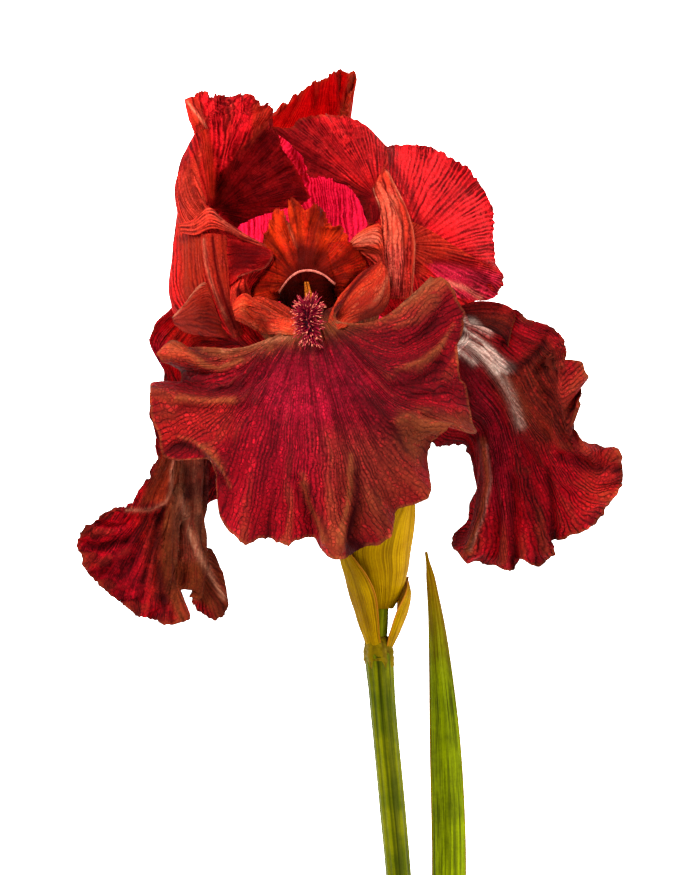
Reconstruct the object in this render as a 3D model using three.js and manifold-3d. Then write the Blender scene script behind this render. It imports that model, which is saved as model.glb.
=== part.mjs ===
// A cut bearded iris in full bloom, lying on its back: six ruffled petals round a perianth tube,
// three bearded falls, three standards, three style arms with crests, three stamens, and below
// them the ovary in its spathe bracts, the stem and one sword leaf.
// Millimetres. +X is to the right of the bloom, +Y runs from the stem towards the bloom, +Z is up.
import * as THREE from "three";
import Module from "manifold-3d";
import { mergeVertices } from "three/addons/utils/BufferGeometryUtils.js";

const wasm = await Module();
wasm.setup();
const { Manifold, Mesh: SolidMesh } = wasm;

// Driving dimensions.
const NET_UNIT = 0.25; // one step of the petal nets below
const PETAL_THICKNESS = 0.7;
const STYLE_THICKNESS = 0.8;
const BRACT_THICKNESS = 0.7;
const LEAF_THICKNESS = 1.0;
const TUBE_RADII = [6.1, 5.2, 3.6, 3.4];
const OVARY_RADII = [3.4, 3.6, 1.9];
const COLUMN_RADII = [2.6, 2.3, 2.5, 4.0];
const PEDICEL_RADIUS = 1.5;
const FILAMENT_RADIUS = 0.5;
const STEM_RADII = [3.7, 3.3, 3.3, 3.2, 3.1, 3.1];
const STEM_SIDES = 12;
const HAIR_SIDES = 3;
const HAIR_ROOT_RADIUS = 0.34;

const COLOURS = {
  fall: "#7c1a1c",
  standard: "#8e1f22",
  pink: "#a3244a",
  style: "#9c3a1e",
  lip: "#d98f8a",
  beard: "#5c1030",
  anther: "#a86a35",
  tube: "#7d8f35",
  spathe: "#b7a12c",
  stem: "#6f8a2a",
  leaf: "#4f8426",
};

// Petal nets. Each net is a list of cross-sections from the claw to the margin. A point is
// [right, up the stem axis, towards the sky] in NET_UNITs from the heart of the flower, where the
// petals leave the perianth tube.
const FALL_FRONT = [
  [[-9, 2, 20], [0, 0, 23], [9, 2, 20]],
  [[-22, 22, 44], [-4, 16, 48], [14, 24, 44]],
  [[-107, 106, 93], [-91, 117, 103], [-60, 98, 105], [-28, 72, 106], [-8, 84, 106], [12, 114, 102],
    [32, 150, 97]],
  [[-62, 96, 130], [-52, 96, 146], [-46, 98, 154], [-39, 102, 158], [-32, 102, 156],
    [-24, 104, 148], [-12, 108, 132]],
  [[-75, 82, 146], [-78, 68, 160], [-60, 58, 176], [-36, 52, 186], [-14, 60, 178], [-2, 77, 162],
    [-5, 95, 142]],
  [[-118, 70, 140], [-118, 48, 150], [-125, 25, 166], [-115, -5, 182], [-88, -20, 192],
    [-55, -35, 202], [-25, -35, 208], [2, -32, 204], [25, -18, 198], [42, 8, 190], [48, 35, 176],
    [45, 68, 156], [35, 102, 132]],
  [[-174, 80, 104], [-193, 65, 124], [-172, 43, 100], [-197, 30, 132], [-193, -8, 150],
    [-181, -37, 140], [-137, -44, 176], [-128, -97, 172], [-105, -123, 190], [-80, -115, 172],
    [-62, -124, 196], [-38, -116, 176], [-15, -138, 200], [8, -128, 178], [38, -119, 198],
    [44, -91, 176], [77, -74, 184], [77, -32, 160], [97, -8, 176], [124, -10, 148], [114, 25, 128],
    [105, 68, 140], [113, 99, 112], [99, 130, 120], [80, 143, 96]],
];

const FALL_LEFT = [
  [[-23, 0, -4], [-19, 0, -11], [-15, 0, -18]],
  [[-52, 42, -22], [-50, 35, -40], [-44, 40, -58]],
  [[-115, 92, -30], [-112, 80, -52], [-102, 72, -75], [-92, 76, -98], [-82, 90, -118]],
  [[-143, 133, -44], [-150, 110, -66], [-155, 92, -90], [-155, 78, -112], [-145, 66, -132],
    [-125, 60, -148], [-105, 58, -160]],
  [[-198, 88, -60], [-190, 74, -82], [-178, 54, -104], [-165, 36, -124], [-145, 18, -142],
    [-122, 12, -158], [-100, 14, -168]],
  [[-185, 46, -66], [-178, 38, -84], [-170, 26, -106], [-158, 12, -126], [-144, 0, -142],
    [-126, -4, -156], [-104, 0, -168]],
  [[-199, 6, -70], [-190, 0, -88], [-180, -8, -110], [-166, -14, -128], [-148, -16, -144],
    [-128, -16, -158], [-108, -12, -170]],
  [[-192, -36, -74], [-184, -42, -92], [-175, -46, -110], [-164, -46, -127], [-150, -44, -142],
    [-132, -40, -158], [-112, -34, -168]],
  [[-217, -84, -86], [-222, -100, -98], [-225, -120, -108], [-215, -145, -118],
    [-200, -162, -124], [-185, -170, -130], [-178, -150, -140], [-162, -155, -150],
    [-145, -165, -160], [-150, -145, -162], [-158, -120, -160], [-158, -95, -164],
    [-124, -70, -170]],
  [[-228, -88, -88], [-247, -93, -80], [-257, -102, -94], [-267, -110, -84], [-271, -122, -98],
    [-267, -140, -92], [-260, -154, -110], [-248, -168, -102], [-232, -180, -122],
    [-220, -190, -114], [-202, -196, -134], [-185, -204, -128], [-163, -200, -144],
    [-170, -181, -150], [-175, -170, -156], [-162, -170, -162], [-158, -180, -158],
    [-150, -192, -168], [-132, -200, -176], [-121, -188, -184], [-126, -160, -178],
    [-137, -135, -184], [-148, -112, -176], [-145, -88, -184], [-121, -74, -180]],
];

const FALL_RIGHT = [
  [[15, 0, -18], [19, 0, -11], [23, 0, -4]],
  [[44, 40, -58], [50, 35, -40], [52, 42, -22]],
  [[82, 84, -118], [92, 72, -98], [102, 66, -74], [110, 72, -50], [112, 86, -26]],
  [[80, 35, -150], [86, 50, -132], [96, 65, -112], [105, 78, -92], [112, 90, -70],
    [112, 104, -48], [106, 118, -28]],
  [[84, -24, -168], [100, 4, -152], [120, 25, -130], [140, 42, -106], [158, 58, -82],
    [172, 78, -56], [176, 100, -30]],
  [[112, -26, -178], [130, -20, -160], [148, -12, -140], [166, 0, -118], [184, 18, -94],
    [200, 44, -68], [212, 82, -38]],
  [[130, -50, -180], [130, -80, -172], [122, -110, -162], [140, -120, -152], [160, -120, -144],
    [180, -110, -134], [200, -95, -124], [222, -80, -112], [235, -60, -100], [240, -40, -88],
    [220, -20, -76], [212, 8, -62], [210, 58, -46]],
  [[131, -38, -184], [132, -60, -176], [124, -82, -184], [114, -105, -174], [101, -120, -184],
    [112, -138, -168], [132, -142, -176], [150, -146, -158], [162, -151, -168],
    [170, -139, -148], [188, -145, -156], [205, -134, -138], [201, -125, -146],
    [225, -113, -124], [251, -98, -132], [263, -78, -108], [271, -58, -116], [270, -30, -92],
    [250, -26, -100], [229, -18, -74], [222, -3, -84], [228, 20, -56], [229, 35, -66],
    [235, 52, -38], [212, 62, -44]],
];

const STANDARD_LEFT = [
  [[-15, 0, 18], [-19, 0, 11], [-23, 0, 4]],
  [[-26, 36, 40], [-36, 34, 32], [-42, 36, 16]],
  [[-78, 72, 56], [-93, 72, 62], [-104, 74, 58], [-108, 80, 42], [-106, 86, 20]],
  [[-91, 97, 64], [-105, 98, 72], [-113, 97, 76], [-119, 98, 77], [-125, 100, 76],
    [-145, 102, 60], [-162, 103, 34], [-170, 102, 6], [-160, 100, -14]],
  [[-98, 130, 98], [-104, 136, 105], [-112, 134, 100], [-124, 130, 88], [-137, 130, 80],
    [-158, 128, 58], [-178, 125, 22], [-168, 122, -14], [-135, 120, -34]],
  [[-76, 158, 109], [-92, 162, 111], [-110, 165, 100], [-126, 164, 92], [-142, 158, 82],
    [-160, 158, 58], [-176, 162, 20], [-160, 162, -22], [-124, 162, -42]],
  [[-84, 171, 96], [-98, 174, 108], [-114, 176, 108], [-128, 182, 100], [-143, 182, 88],
    [-162, 182, 58], [-172, 190, 18], [-156, 192, -26], [-116, 188, -46]],
  [[-110, 184, 98], [-122, 190, 104], [-134, 196, 98], [-147, 200, 86], [-160, 202, 64],
    [-170, 206, 34], [-166, 217, 0], [-140, 214, -34], [-88, 204, -50]],
  [[-138, 208, 80], [-146, 214, 82], [-154, 218, 74], [-163, 222, 58], [-170, 226, 38],
    [-172, 234, 14], [-158, 240, -14], [-120, 236, -38], [-44, 216, -48]],
  [[-150, 245, 50], [-157, 249, 50], [-162, 252, 42], [-166, 255, 30], [-166, 258, 16],
    [-156, 264, -2], [-132, 268, -22], [-96, 262, -38], [-48, 238, -48]],
  [[-148, 278, 38], [-152, 281, 36], [-153, 285, 28], [-150, 290, 18], [-145, 294, 8],
    [-138, 296, -6], [-118, 294, -20], [-92, 286, -32], [-66, 268, -42]],
  [[-163, 316, 18], [-159, 319, 10], [-153, 322, 8], [-148, 325, -4], [-143, 325, -2],
    [-137, 322, -14], [-131, 323, -8], [-123, 321, -20], [-115, 322, -14], [-106, 324, -26],
    [-98, 323, -20], [-92, 316, -32], [-88, 313, -28], [-82, 315, -38], [-78, 310, -34],
    [-76, 300, -42], [-74, 288, -44]],
];

const STANDARD_RIGHT = [
  [[15, 0, 18], [19, 0, 11], [23, 0, 4]],
  [[30, 36, 40], [40, 36, 32], [46, 36, 16]],
  [[44, 86, 58], [52, 88, 62], [60, 90, 56], [66, 94, 40], [68, 96, 20]],
  [[20, 114, 60], [28, 119, 66], [37, 122, 71], [46, 123, 73], [54, 124, 71], [75, 122, 52],
    [98, 118, 28], [118, 118, 2], [128, 120, -12]],
  [[12, 158, 72], [22, 155, 77], [32, 151, 80], [40, 149, 81], [48, 150, 78], [70, 152, 64],
    [100, 148, 38], [130, 135, 8], [148, 126, -14]],
  [[0, 170, 82], [12, 174, 92], [24, 176, 94], [36, 176, 92], [48, 180, 86], [70, 184, 62],
    [100, 172, 38], [130, 156, 14], [151, 143, -10]],
  [[16, 192, 80], [22, 197, 88], [28, 201, 92], [36, 207, 90], [46, 212, 84], [70, 206, 66],
    [100, 192, 40], [128, 172, 8], [144, 157, -18]],
  [[12, 215, 74], [18, 220, 82], [24, 225, 84], [30, 231, 82], [38, 236, 74], [65, 235, 50],
    [95, 225, 24], [125, 205, -4], [143, 180, -24]],
  [[-15, 237, 64], [-5, 242, 72], [6, 248, 74], [18, 254, 70], [30, 260, 58], [55, 256, 34],
    [85, 250, 10], [115, 232, -16], [141, 205, -34]],
  [[-42, 242, 48], [-48, 262, 42], [-60, 274, 36], [-77, 289, 28], [-60, 289, 34],
    [-47, 298, 26], [-30, 301, 34], [-15, 302, 26], [2, 299, 34], [20, 287, 26], [33, 273, 26],
    [47, 272, 10], [70, 272, 4], [95, 263, -14], [116, 250, -18], [130, 234, -34],
    [142, 210, -38]],
];

const STANDARD_BACK = [
  [[-8, 0, -21], [0, 0, -23], [8, 0, -21]],
  [[-16, 34, -50], [0, 32, -56], [16, 34, -50]],
  [[-40, 80, -92], [-20, 78, -108], [0, 78, -112], [20, 78, -108], [40, 82, -92]],
  [[-110, 140, -100], [-90, 138, -130], [-62, 137, -152], [-30, 136, -164], [-5, 136, -168],
    [20, 136, -164], [45, 138, -152], [68, 140, -130], [82, 142, -100]],
  [[-125, 205, -90], [-104, 206, -128], [-74, 208, -156], [-40, 210, -176], [-8, 212, -184],
    [24, 210, -176], [52, 208, -156], [76, 206, -126], [90, 204, -90]],
  [[-110, 265, -72], [-94, 268, -104], [-70, 270, -128], [-42, 274, -144], [-12, 276, -150],
    [0, 276, -146], [12, 262, -130], [30, 248, -106], [52, 228, -78]],
  [[-78, 308, -56], [-67, 313, -68], [-60, 317, -66], [-53, 324, -84], [-46, 330, -80],
    [-38, 338, -98], [-30, 337, -90], [-20, 345, -104], [-10, 348, -92], [-2, 346, -100],
    [6, 346, -84], [2, 330, -88], [-4, 312, -74], [-3, 298, -80], [8, 284, -66],
    [26, 268, -72], [48, 252, -64]],
];

const STYLE_FRONT = [
  [[-12, 34, 20], [-2, 34, 28], [8, 34, 20]],
  [[-36, 76, 54], [-24, 82, 72], [-12, 84, 78], [0, 84, 72], [12, 80, 54]],
  [[-68, 112, 86], [-60, 122, 104], [-48, 128, 114], [-38, 130, 118], [-28, 130, 114],
    [-18, 126, 102], [-10, 116, 86]],
  [[-71, 128, 118], [-62, 140, 126], [-53, 147, 130], [-44, 149, 132], [-34, 148, 130],
    [-24, 144, 126], [-14, 136, 118]],
  [[-85, 127, 104], [-83, 156, 94], [-70, 174, 106], [-52, 168, 112], [-42, 184, 104],
    [-18, 170, 104], [0, 136, 106]],
  [[-92, 112, 93], [-101, 135, 76], [-93, 156, 78], [-86, 174, 76], [-82, 192, 86],
    [-75, 201, 86], [-68, 206, 90], [-61, 194, 88], [-54, 174, 100], [-58, 198, 92],
    [-60, 216, 88], [-50, 212, 82], [-38, 211, 88], [-28, 204, 80], [-17, 191, 90],
    [-7, 190, 80], [0, 174, 90], [7, 160, 84], [15, 145, 92], [8, 133, 90], [-5, 121, 100]],
];

// The two style arms behind are alike, mirrored.
const STYLE_LEFT = [
  [[-22, 34, 8], [-20, 36, -4], [-12, 34, -12]],
  [[-52, 80, -6], [-56, 92, -14], [-56, 94, -28], [-50, 92, -42], [-42, 78, -50]],
  [[-82, 108, -28], [-88, 120, -36], [-89, 126, -50], [-82, 122, -64], [-70, 108, -74]],
  [[-92, 118, -30], [-100, 138, -32], [-92, 158, -42], [-96, 140, -56], [-90, 160, -66],
    [-84, 148, -78], [-72, 124, -84]],
];
const mirrored = (net) => net.map((ring) => ring.map(([x, y, z]) => [-x, y, z]).reverse());
const STYLE_RIGHT = mirrored(STYLE_LEFT);

// The stigma lip under each style arm: the arm's lip line, moved clear and let down.
const LIP_FRONT = [
  [[-70, 127, 122], [-61, 139, 130], [-52, 146, 134], [-43, 148, 136], [-34, 147, 134],
    [-25, 143, 130], [-15, 135, 122]],
  [[-69, 122, 123], [-61, 134, 131], [-52, 141, 136], [-43, 143, 138], [-34, 142, 136],
    [-26, 138, 131], [-17, 130, 123]],
];
const LIP_LEFT = [
  [[-82, 102, -33], [-86, 111, -40], [-87, 116, -51], [-80, 112, -62], [-72, 101, -68]],
  [[-84, 97, -34], [-88, 105, -41], [-89, 109, -51], [-82, 105, -61], [-74, 96, -66]],
];
const LIP_RIGHT = mirrored(LIP_LEFT);

// The axis that carries the flower: tube, ovary and pedicel, then the stem down to its cut.
const TUBE_PATH = [[0, -3, 0], [0, -9, 0], [10, -48, -6], [24, -96, -14]];
const OVARY_PATH = [[25, -100, -15], [28, -140, -21], [32, -184, -28]];
const PEDICEL_PATH = [[32.3, -187, -28.5], [31.5, -208, -30.5], [29, -230, -33]];
const STEM_PATH = [[29, -232.5, -33], [33, -285, -42], [42, -380, -68], [50, -470, -94],
  [60, -600, -132], [75, -740, -169]];
const COLUMN_PATH = [[0, -1.5, 1], [0, 6, 1], [-2, 20, 6], [-2, 31, 7]];

// Stamens: the filament's path, then the anther's.
const STAMENS = {
  front: [[[-1, -1.5, 14], [-2, 12, 20], [-6, 40, 54], [-22, 80, 92], [-33, 97, 108]],
    [[-36, 102, 113], [-40, 118, 122], [-43, 136, 129]]],
  left: [[[-13, -1.5, -7], [-17, 12, -9], [-42, 50, -28], [-62, 80, -42], [-68, 86, -46]],
    [[-70, 89, -47], [-77, 97, -50], [-84, 104, -54]]],
};
STAMENS.right = STAMENS.left.map((points) => points.map(([x, y, z]) => [-x, y, z]));

// Beards: each core lies along the middle of its fall, between two places counted in sections of
// the net, on the face that the sign gives.
const BEARDS = {
  front: { fall: FALL_FRONT, from: 2.62, to: 3.6, face: -1, hairs: 70, length: 4.2 },
  left: { fall: FALL_LEFT, from: 1.9, to: 3.1, face: 1, hairs: 30, length: 3.2 },
  right: { fall: FALL_RIGHT, from: 1.9, to: 3.1, face: 1, hairs: 30, length: 3.2 },
};
const CORE_RADIUS = 1.1;
const CORE_GAP = 0.3;
const CORE_STEPS = 8;
const CORE_SIDES = 8;
const CORE_TAPER = 0.8; // how much of its section the core loses at its ends
const HAIR_FAN = Math.PI * 1.05; // the hairs spread over this angle round the core
const HAIR_LEAN = 1.6; // how far the hairs at the ends lean outward
const HAIR_TOSS = 0.7; // random part of the lean
const HAIR_SHORTEST = 0.6; // share of the full length

// Anthers: the lobes' distance from the middle and their radii from base to tip.
const LOBE_SHIFT = 2.2; // in NET_UNITs
const LOBE_TIP_SPREAD = 1.6;
const LOBE_RADII = [0.5, 0.66, 0.25];
const LOBE_SIDES = 6;
const LOBE_STEPS = 4;

// Spathe bracts wrap the axis. Each level: [x, y, z of the centre, radius, from, to] with the
// angles in degrees from the right round the front.
const SPATHE_INNER = [
  [32, -187, -28, 9.8, -80, 258], [32, -174, -26, 17, -80, 258], [30, -152, -22, 26, -78, 255],
  [28, -130, -19, 31, -70, 250], [30, -105, -15, 33, -55, 215], [32, -83, -12, 32, -30, 150],
  [36, -62, -9, 29, 0, 118], [40, -46, -7, 26, 30, 76],
];
const SPATHE_LEFT = [
  [29, -228, -33, 11, 75, 230], [29, -214, -31, 15.5, 88, 225], [30, -195, -29, 23, 94, 220],
  [30, -175, -26, 30, 98, 215], [30, -155, -22, 34.5, 112, 205], [28, -137, -20, 37, 130, 195],
  [27, -120, -17, 38, 165, 188],
];
const SPATHE_RIGHT = [
  [29, -228, -33, 11, -70, 50], [31, -212, -31, 17, -60, 60], [33, -190, -28, 24, -55, 55],
  [33, -173, -25, 26.5, -58, 34], [31, -156, -22, 31, -52, -26],
];

const LEAF = [
  [[68, -728, -181], [83, -728, -179], [89.5, -728, -166], [83, -728, -153], [68, -728, -151]],
  [[73, -700, -177], [86, -700, -171], [90.5, -700, -158], [84, -700, -144], [78, -700, -140]],
  [[84, -660, -168], [93, -660, -161], [98, -660, -153], [95, -660, -145], [88, -660, -139]],
  [[82, -600, -160], [92, -600, -154], [101, -600, -150], [107, -600, -149], [111, -600, -151]],
  [[80, -540, -158], [88, -540, -152], [97, -540, -148], [105, -540, -151], [113, -540, -157]],
  [[82, -440, -156], [90, -440, -150], [99, -440, -146], [108, -440, -149], [116, -440, -155]],
  [[80, -330, -153], [88, -330, -148], [96, -330, -144], [104, -330, -147], [111, -330, -152]],
  [[79, -230, -150], [84, -230, -146], [89, -230, -143], [94, -230, -145], [99, -230, -149]],
  [[77, -170, -146], [79, -169, -144], [82, -168, -143], [85, -168, -144], [87, -168, -146]],
  [[75, -132, -144], [75.5, -132, -143.5], [76, -131, -143], [76.5, -132, -143.5],
    [77, -132, -144]],
];

const point = (p) => new THREE.Vector3(...p).multiplyScalar(NET_UNIT);
const path = (points) => new THREE.CatmullRomCurve3(points, false, "catmullrom", 0.5);

// The grid of points of a net: every cross-section gets the same number of steps across, and the
// lines that join them get `rows` steps in each interval.
function gridOf(net, across, rows) {
  const sections = net.map((ring) => path(ring.map(point)).getPoints(across));
  const grid = [];
  const columns = sections[0].map((_, i) => path(sections.map((section) => section[i])));
  for (let k = 0; k < net.length - 1; k++) {
    for (let r = 0; r < rows[k]; r++) {
      const t = (k + r / rows[k]) / (net.length - 1);
      grid.push(columns.map((column) => column.getPoint(t)));
    }
  }
  grid.push(columns.map((column) => column.getPoint(1)));
  return grid;
}

function normalsOf(grid) {
  const last = grid.length - 1;
  const side = grid[0].length - 1;
  return grid.map((row, j) =>
    row.map((_, i) => {
      const along = grid[Math.min(j + 1, last)][i].clone().sub(grid[Math.max(j - 1, 0)][i]);
      const over = grid[j][Math.min(i + 1, side)].clone().sub(grid[j][Math.max(i - 1, 0)]);
      return over.cross(along).normalize();
    }),
  );
}

// A closed shell of even thickness round a grid, split into triangles alike on both faces.
function shellOf(grid, thickness) {
  const normals = normalsOf(grid);
  const rows = grid.length;
  const columns = grid[0].length;
  const positions = [];
  for (const side of [0.5, -0.5]) {
    grid.forEach((row, j) =>
      row.forEach((p, i) => {
        positions.push(...p.clone().addScaledVector(normals[j][i], side * thickness).toArray());
      }),
    );
  }
  const half = rows * columns;
  const at = (j, i) => j * columns + i;
  const index = [];
  const quad = (a, b, c, d) => index.push(a, b, c, a, c, d);
  for (let j = 0; j < rows - 1; j++) {
    for (let i = 0; i < columns - 1; i++) {
      quad(at(j, i), at(j, i + 1), at(j + 1, i + 1), at(j + 1, i));
      index.push(half + at(j, i), half + at(j + 1, i + 1), half + at(j, i + 1));
      index.push(half + at(j, i), half + at(j + 1, i), half + at(j + 1, i + 1));
    }
  }
  const rim = [];
  for (let i = 0; i < columns - 1; i++) rim.push([at(0, i + 1), at(0, i)]);
  for (let i = 0; i < columns - 1; i++) rim.push([at(rows - 1, i), at(rows - 1, i + 1)]);
  for (let j = 0; j < rows - 1; j++) rim.push([at(j, 0), at(j + 1, 0)]);
  for (let j = 0; j < rows - 1; j++) rim.push([at(j + 1, columns - 1), at(j, columns - 1)]);
  for (const [a, b] of rim) quad(a, b, half + b, half + a);
  return geometryOf(positions, index);
}

function geometryOf(positions, index) {
  const geometry = new THREE.BufferGeometry();
  geometry.setAttribute("position", new THREE.Float32BufferAttribute(positions, 3));
  geometry.setIndex(index);
  return geometry;
}

// Between three.js geometry and manifold-3d solids.
function solidOf(geometry) {
  const bare = new THREE.BufferGeometry();
  bare.setAttribute("position", geometry.getAttribute("position").clone());
  if (geometry.index) bare.setIndex(geometry.index.clone());
  const merged = mergeVertices(bare, 1e-4);
  return new Manifold(
    new SolidMesh({
      numProp: 3,
      vertProperties: merged.attributes.position.array,
      triVerts: new Uint32Array(merged.index.array),
    }),
  );
}

function geometryOfSolid(solid) {
  const mesh = solid.getMesh();
  return geometryOf([...mesh.vertProperties], [...mesh.triVerts]);
}

function largestBody(solid) {
  return solid.decompose().reduce((a, b) => (b.volume() > a.volume() ? b : a));
}

// A round or oval rod along a curve, with a radius for each point of the curve.
function rodOf(points, radii, sides, steps) {
  const curve = path(points.map(point));
  const sizes = path(radii.map((r) => new THREE.Vector3(...(Array.isArray(r) ? r : [r, r]), 0)));
  const positions = [];
  const up = new THREE.Vector3(0, 0, 1);
  for (let k = 0; k <= steps; k++) {
    const centre = curve.getPoint(k / steps);
    const axis = curve.getTangent(k / steps);
    const right = axis.clone().cross(up).normalize();
    const over = right.clone().cross(axis).normalize();
    const size = sizes.getPoint(k / steps);
    for (let s = 0; s < sides; s++) {
      const a = (2 * Math.PI * s) / sides;
      const p = centre.clone();
      p.addScaledVector(right, Math.cos(a) * size.x).addScaledVector(over, Math.sin(a) * size.y);
      positions.push(...p.toArray());
    }
  }
  const index = [];
  const at = (k, s) => k * sides + (s % sides);
  for (let k = 0; k < steps; k++) {
    for (let s = 0; s < sides; s++) {
      index.push(at(k, s), at(k, s + 1), at(k + 1, s + 1));
      index.push(at(k, s), at(k + 1, s + 1), at(k + 1, s));
    }
  }
  for (let s = 1; s < sides - 1; s++) {
    index.push(at(0, 0), at(0, s + 1), at(0, s));
    index.push(at(steps, 0), at(steps, s), at(steps, s + 1));
  }
  const geometry = geometryOf(positions, index);
  return solidOf(geometry).volume() > 0 ? geometry : flipped(geometry);
}

function flipped(geometry) {
  const index = [...geometry.index.array];
  for (let i = 0; i < index.length; i += 3) {
    [index[i + 1], index[i + 2]] = [index[i + 2], index[i + 1]];
  }
  geometry.setIndex(index);
  return geometry;
}

const flower = new THREE.Group();
flower.name = "iris";

function addPiece(name, geometry, colour, roughness = 0.6) {
  const material = new THREE.MeshStandardMaterial({ color: colour, roughness, metalness: 0 });
  const mesh = new THREE.Mesh(geometry, material);
  mesh.name = name;
  flower.add(mesh);
}

// A spathe level as a ring of points on its arc.
function arc([x, y, z, radius, from, to], points = 9) {
  return Array.from({ length: points }, (_, i) => {
    const a = THREE.MathUtils.degToRad(to + ((from - to) * i) / (points - 1));
    return [x + radius * Math.cos(a), y, z + radius * Math.sin(a)];
  });
}

// Repeatable random numbers between 0 and 1.
function randomFrom(seed) {
  let state = seed;
  return () => {
    state = (state * 1664525 + 1013904223) % 4294967296;
    return state / 4294967296;
  };
}

// One hair: a slim cone from `root` along `way`, open to a fine tip.
function hairOf(root, way, length) {
  const cone = new THREE.ConeGeometry(HAIR_ROOT_RADIUS, length, HAIR_SIDES, 1);
  cone.translate(0, length / 2, 0);
  cone.applyQuaternion(new THREE.Quaternion().setFromUnitVectors(new THREE.Vector3(0, 1, 0), way));
  cone.translate(root.x, root.y, root.z);
  return solidOf(cone);
}

// A place on a net with its outward normal: `t` runs across from 0 to 1, `section` counts along.
function placeOn(net, t, section) {
  const at = (u, v) =>
    path(net.map((ring) => path(ring.map(point)).getPoint(u))).getPoint(v / (net.length - 1));
  const small = 0.01;
  const over = at(t + small, section).sub(at(t - small, section));
  const along = at(t, section + small).sub(at(t, section - small));
  return { place: at(t, section), normal: over.cross(along).normalize() };
}

// A beard: a slim core with hairs rooted in it, fused into one solid.
function beardOf({ fall, from, to, face, hairs, length }, seed) {
  const random = randomFrom(seed);
  const lift = PETAL_THICKNESS / 2 + CORE_GAP + CORE_RADIUS;
  const places = Array.from({ length: CORE_STEPS + 1 }, (_, i) =>
    placeOn(fall, 0.5, from + ((to - from) * i) / CORE_STEPS));
  const centres = places.map(({ place, normal }) =>
    place.clone().addScaledVector(normal, face * lift));
  const core = centres.map((p) => p.clone().divideScalar(NET_UNIT).toArray());
  const radii = core.map((_, i) =>
    CORE_RADIUS * Math.sqrt(1 - CORE_TAPER * Math.abs((2 * i) / CORE_STEPS - 1) ** 3));
  let solid = solidOf(rodOf(core, radii, CORE_SIDES, CORE_STEPS));
  const curve = path(centres);
  for (let k = 0; k < hairs; k++) {
    const u = (k + random()) / hairs;
    const up = places[Math.round(u * CORE_STEPS)].normal.clone().multiplyScalar(face);
    const axis = curve.getTangent(u);
    const side = axis.clone().cross(up).normalize();
    const turn = (random() - 0.5) * HAIR_FAN;
    const lean = (u - 0.5) * HAIR_LEAN + (random() - 0.5) * HAIR_TOSS;
    const way = up.clone().multiplyScalar(Math.cos(turn)).addScaledVector(side, Math.sin(turn));
    way.addScaledVector(axis, lean).normalize();
    const reach = CORE_RADIUS / 2 + length * (HAIR_SHORTEST + (1 - HAIR_SHORTEST) * random());
    solid = solid.add(hairOf(curve.getPoint(u), way, reach));
  }
  return geometryOfSolid(largestBody(solid));
}

// An anther: two slim lobes side by side on the filament's end, fused where they meet.
function antherOf(points) {
  const last = points.length - 1;
  const lobe = (shift) => solidOf(rodOf(
    points.map(([x, y, z], i) => [x + shift * (i === last ? LOBE_TIP_SPREAD : 1), y, z]),
    LOBE_RADII, LOBE_SIDES, LOBE_STEPS));
  return geometryOfSolid(largestBody(lobe(-LOBE_SHIFT).add(lobe(LOBE_SHIFT))));
}

const NETS = {
  fall_front: [FALL_FRONT, 42, [1, 2, 1, 2, 2, 3], PETAL_THICKNESS, COLOURS.fall],
  fall_left: [FALL_LEFT, 40, [1, 1, 1, 1, 1, 1, 2, 2, 2], PETAL_THICKNESS, COLOURS.fall],
  fall_right: [FALL_RIGHT, 40, [1, 1, 1, 2, 2, 2, 2], PETAL_THICKNESS, COLOURS.fall],
  standard_left: [STANDARD_LEFT, 26, [1, 1, 1, 2, 1, 1, 1, 1, 1, 2, 2], PETAL_THICKNESS,
    COLOURS.standard],
  standard_right: [STANDARD_RIGHT, 28, [1, 1, 1, 2, 1, 1, 1, 2, 3], PETAL_THICKNESS,
    COLOURS.standard],
  standard_back: [STANDARD_BACK, 28, [1, 1, 2, 2, 2, 2], PETAL_THICKNESS, COLOURS.pink],
  style_front: [STYLE_FRONT, 20, [1, 2, 1, 2, 2], STYLE_THICKNESS, COLOURS.style],
  style_left: [STYLE_LEFT, 12, [2, 2, 2], STYLE_THICKNESS, COLOURS.style],
  style_right: [STYLE_RIGHT, 12, [2, 2, 2], STYLE_THICKNESS, COLOURS.style],
  stigma_lip_front: [LIP_FRONT, 12, [1], STYLE_THICKNESS * 0.8, COLOURS.lip],
  stigma_lip_left: [LIP_LEFT, 8, [1], STYLE_THICKNESS * 0.8, COLOURS.lip],
  stigma_lip_right: [LIP_RIGHT, 8, [1], STYLE_THICKNESS * 0.8, COLOURS.lip],
  spathe_inner: [SPATHE_INNER.map((l) => arc(l, 17)), 16, [1, 1, 1, 1, 1, 1, 1], BRACT_THICKNESS,
    COLOURS.spathe],
  spathe_left: [SPATHE_LEFT.map((l) => arc(l)), 10, [1, 1, 1, 1, 1, 1], BRACT_THICKNESS,
    COLOURS.spathe],
  spathe_right: [SPATHE_RIGHT.map((l) => arc(l)), 8, [1, 1, 1, 1], BRACT_THICKNESS,
    COLOURS.spathe],
  leaf: [LEAF, 8, [1, 1, 1, 1, 1, 2, 2, 1, 1], LEAF_THICKNESS, COLOURS.leaf],
};
for (const [name, [net, across, rows, thickness, colour]] of Object.entries(NETS)) {
  addPiece(name, shellOf(gridOf(net, across, rows), thickness), colour);
}

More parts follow.
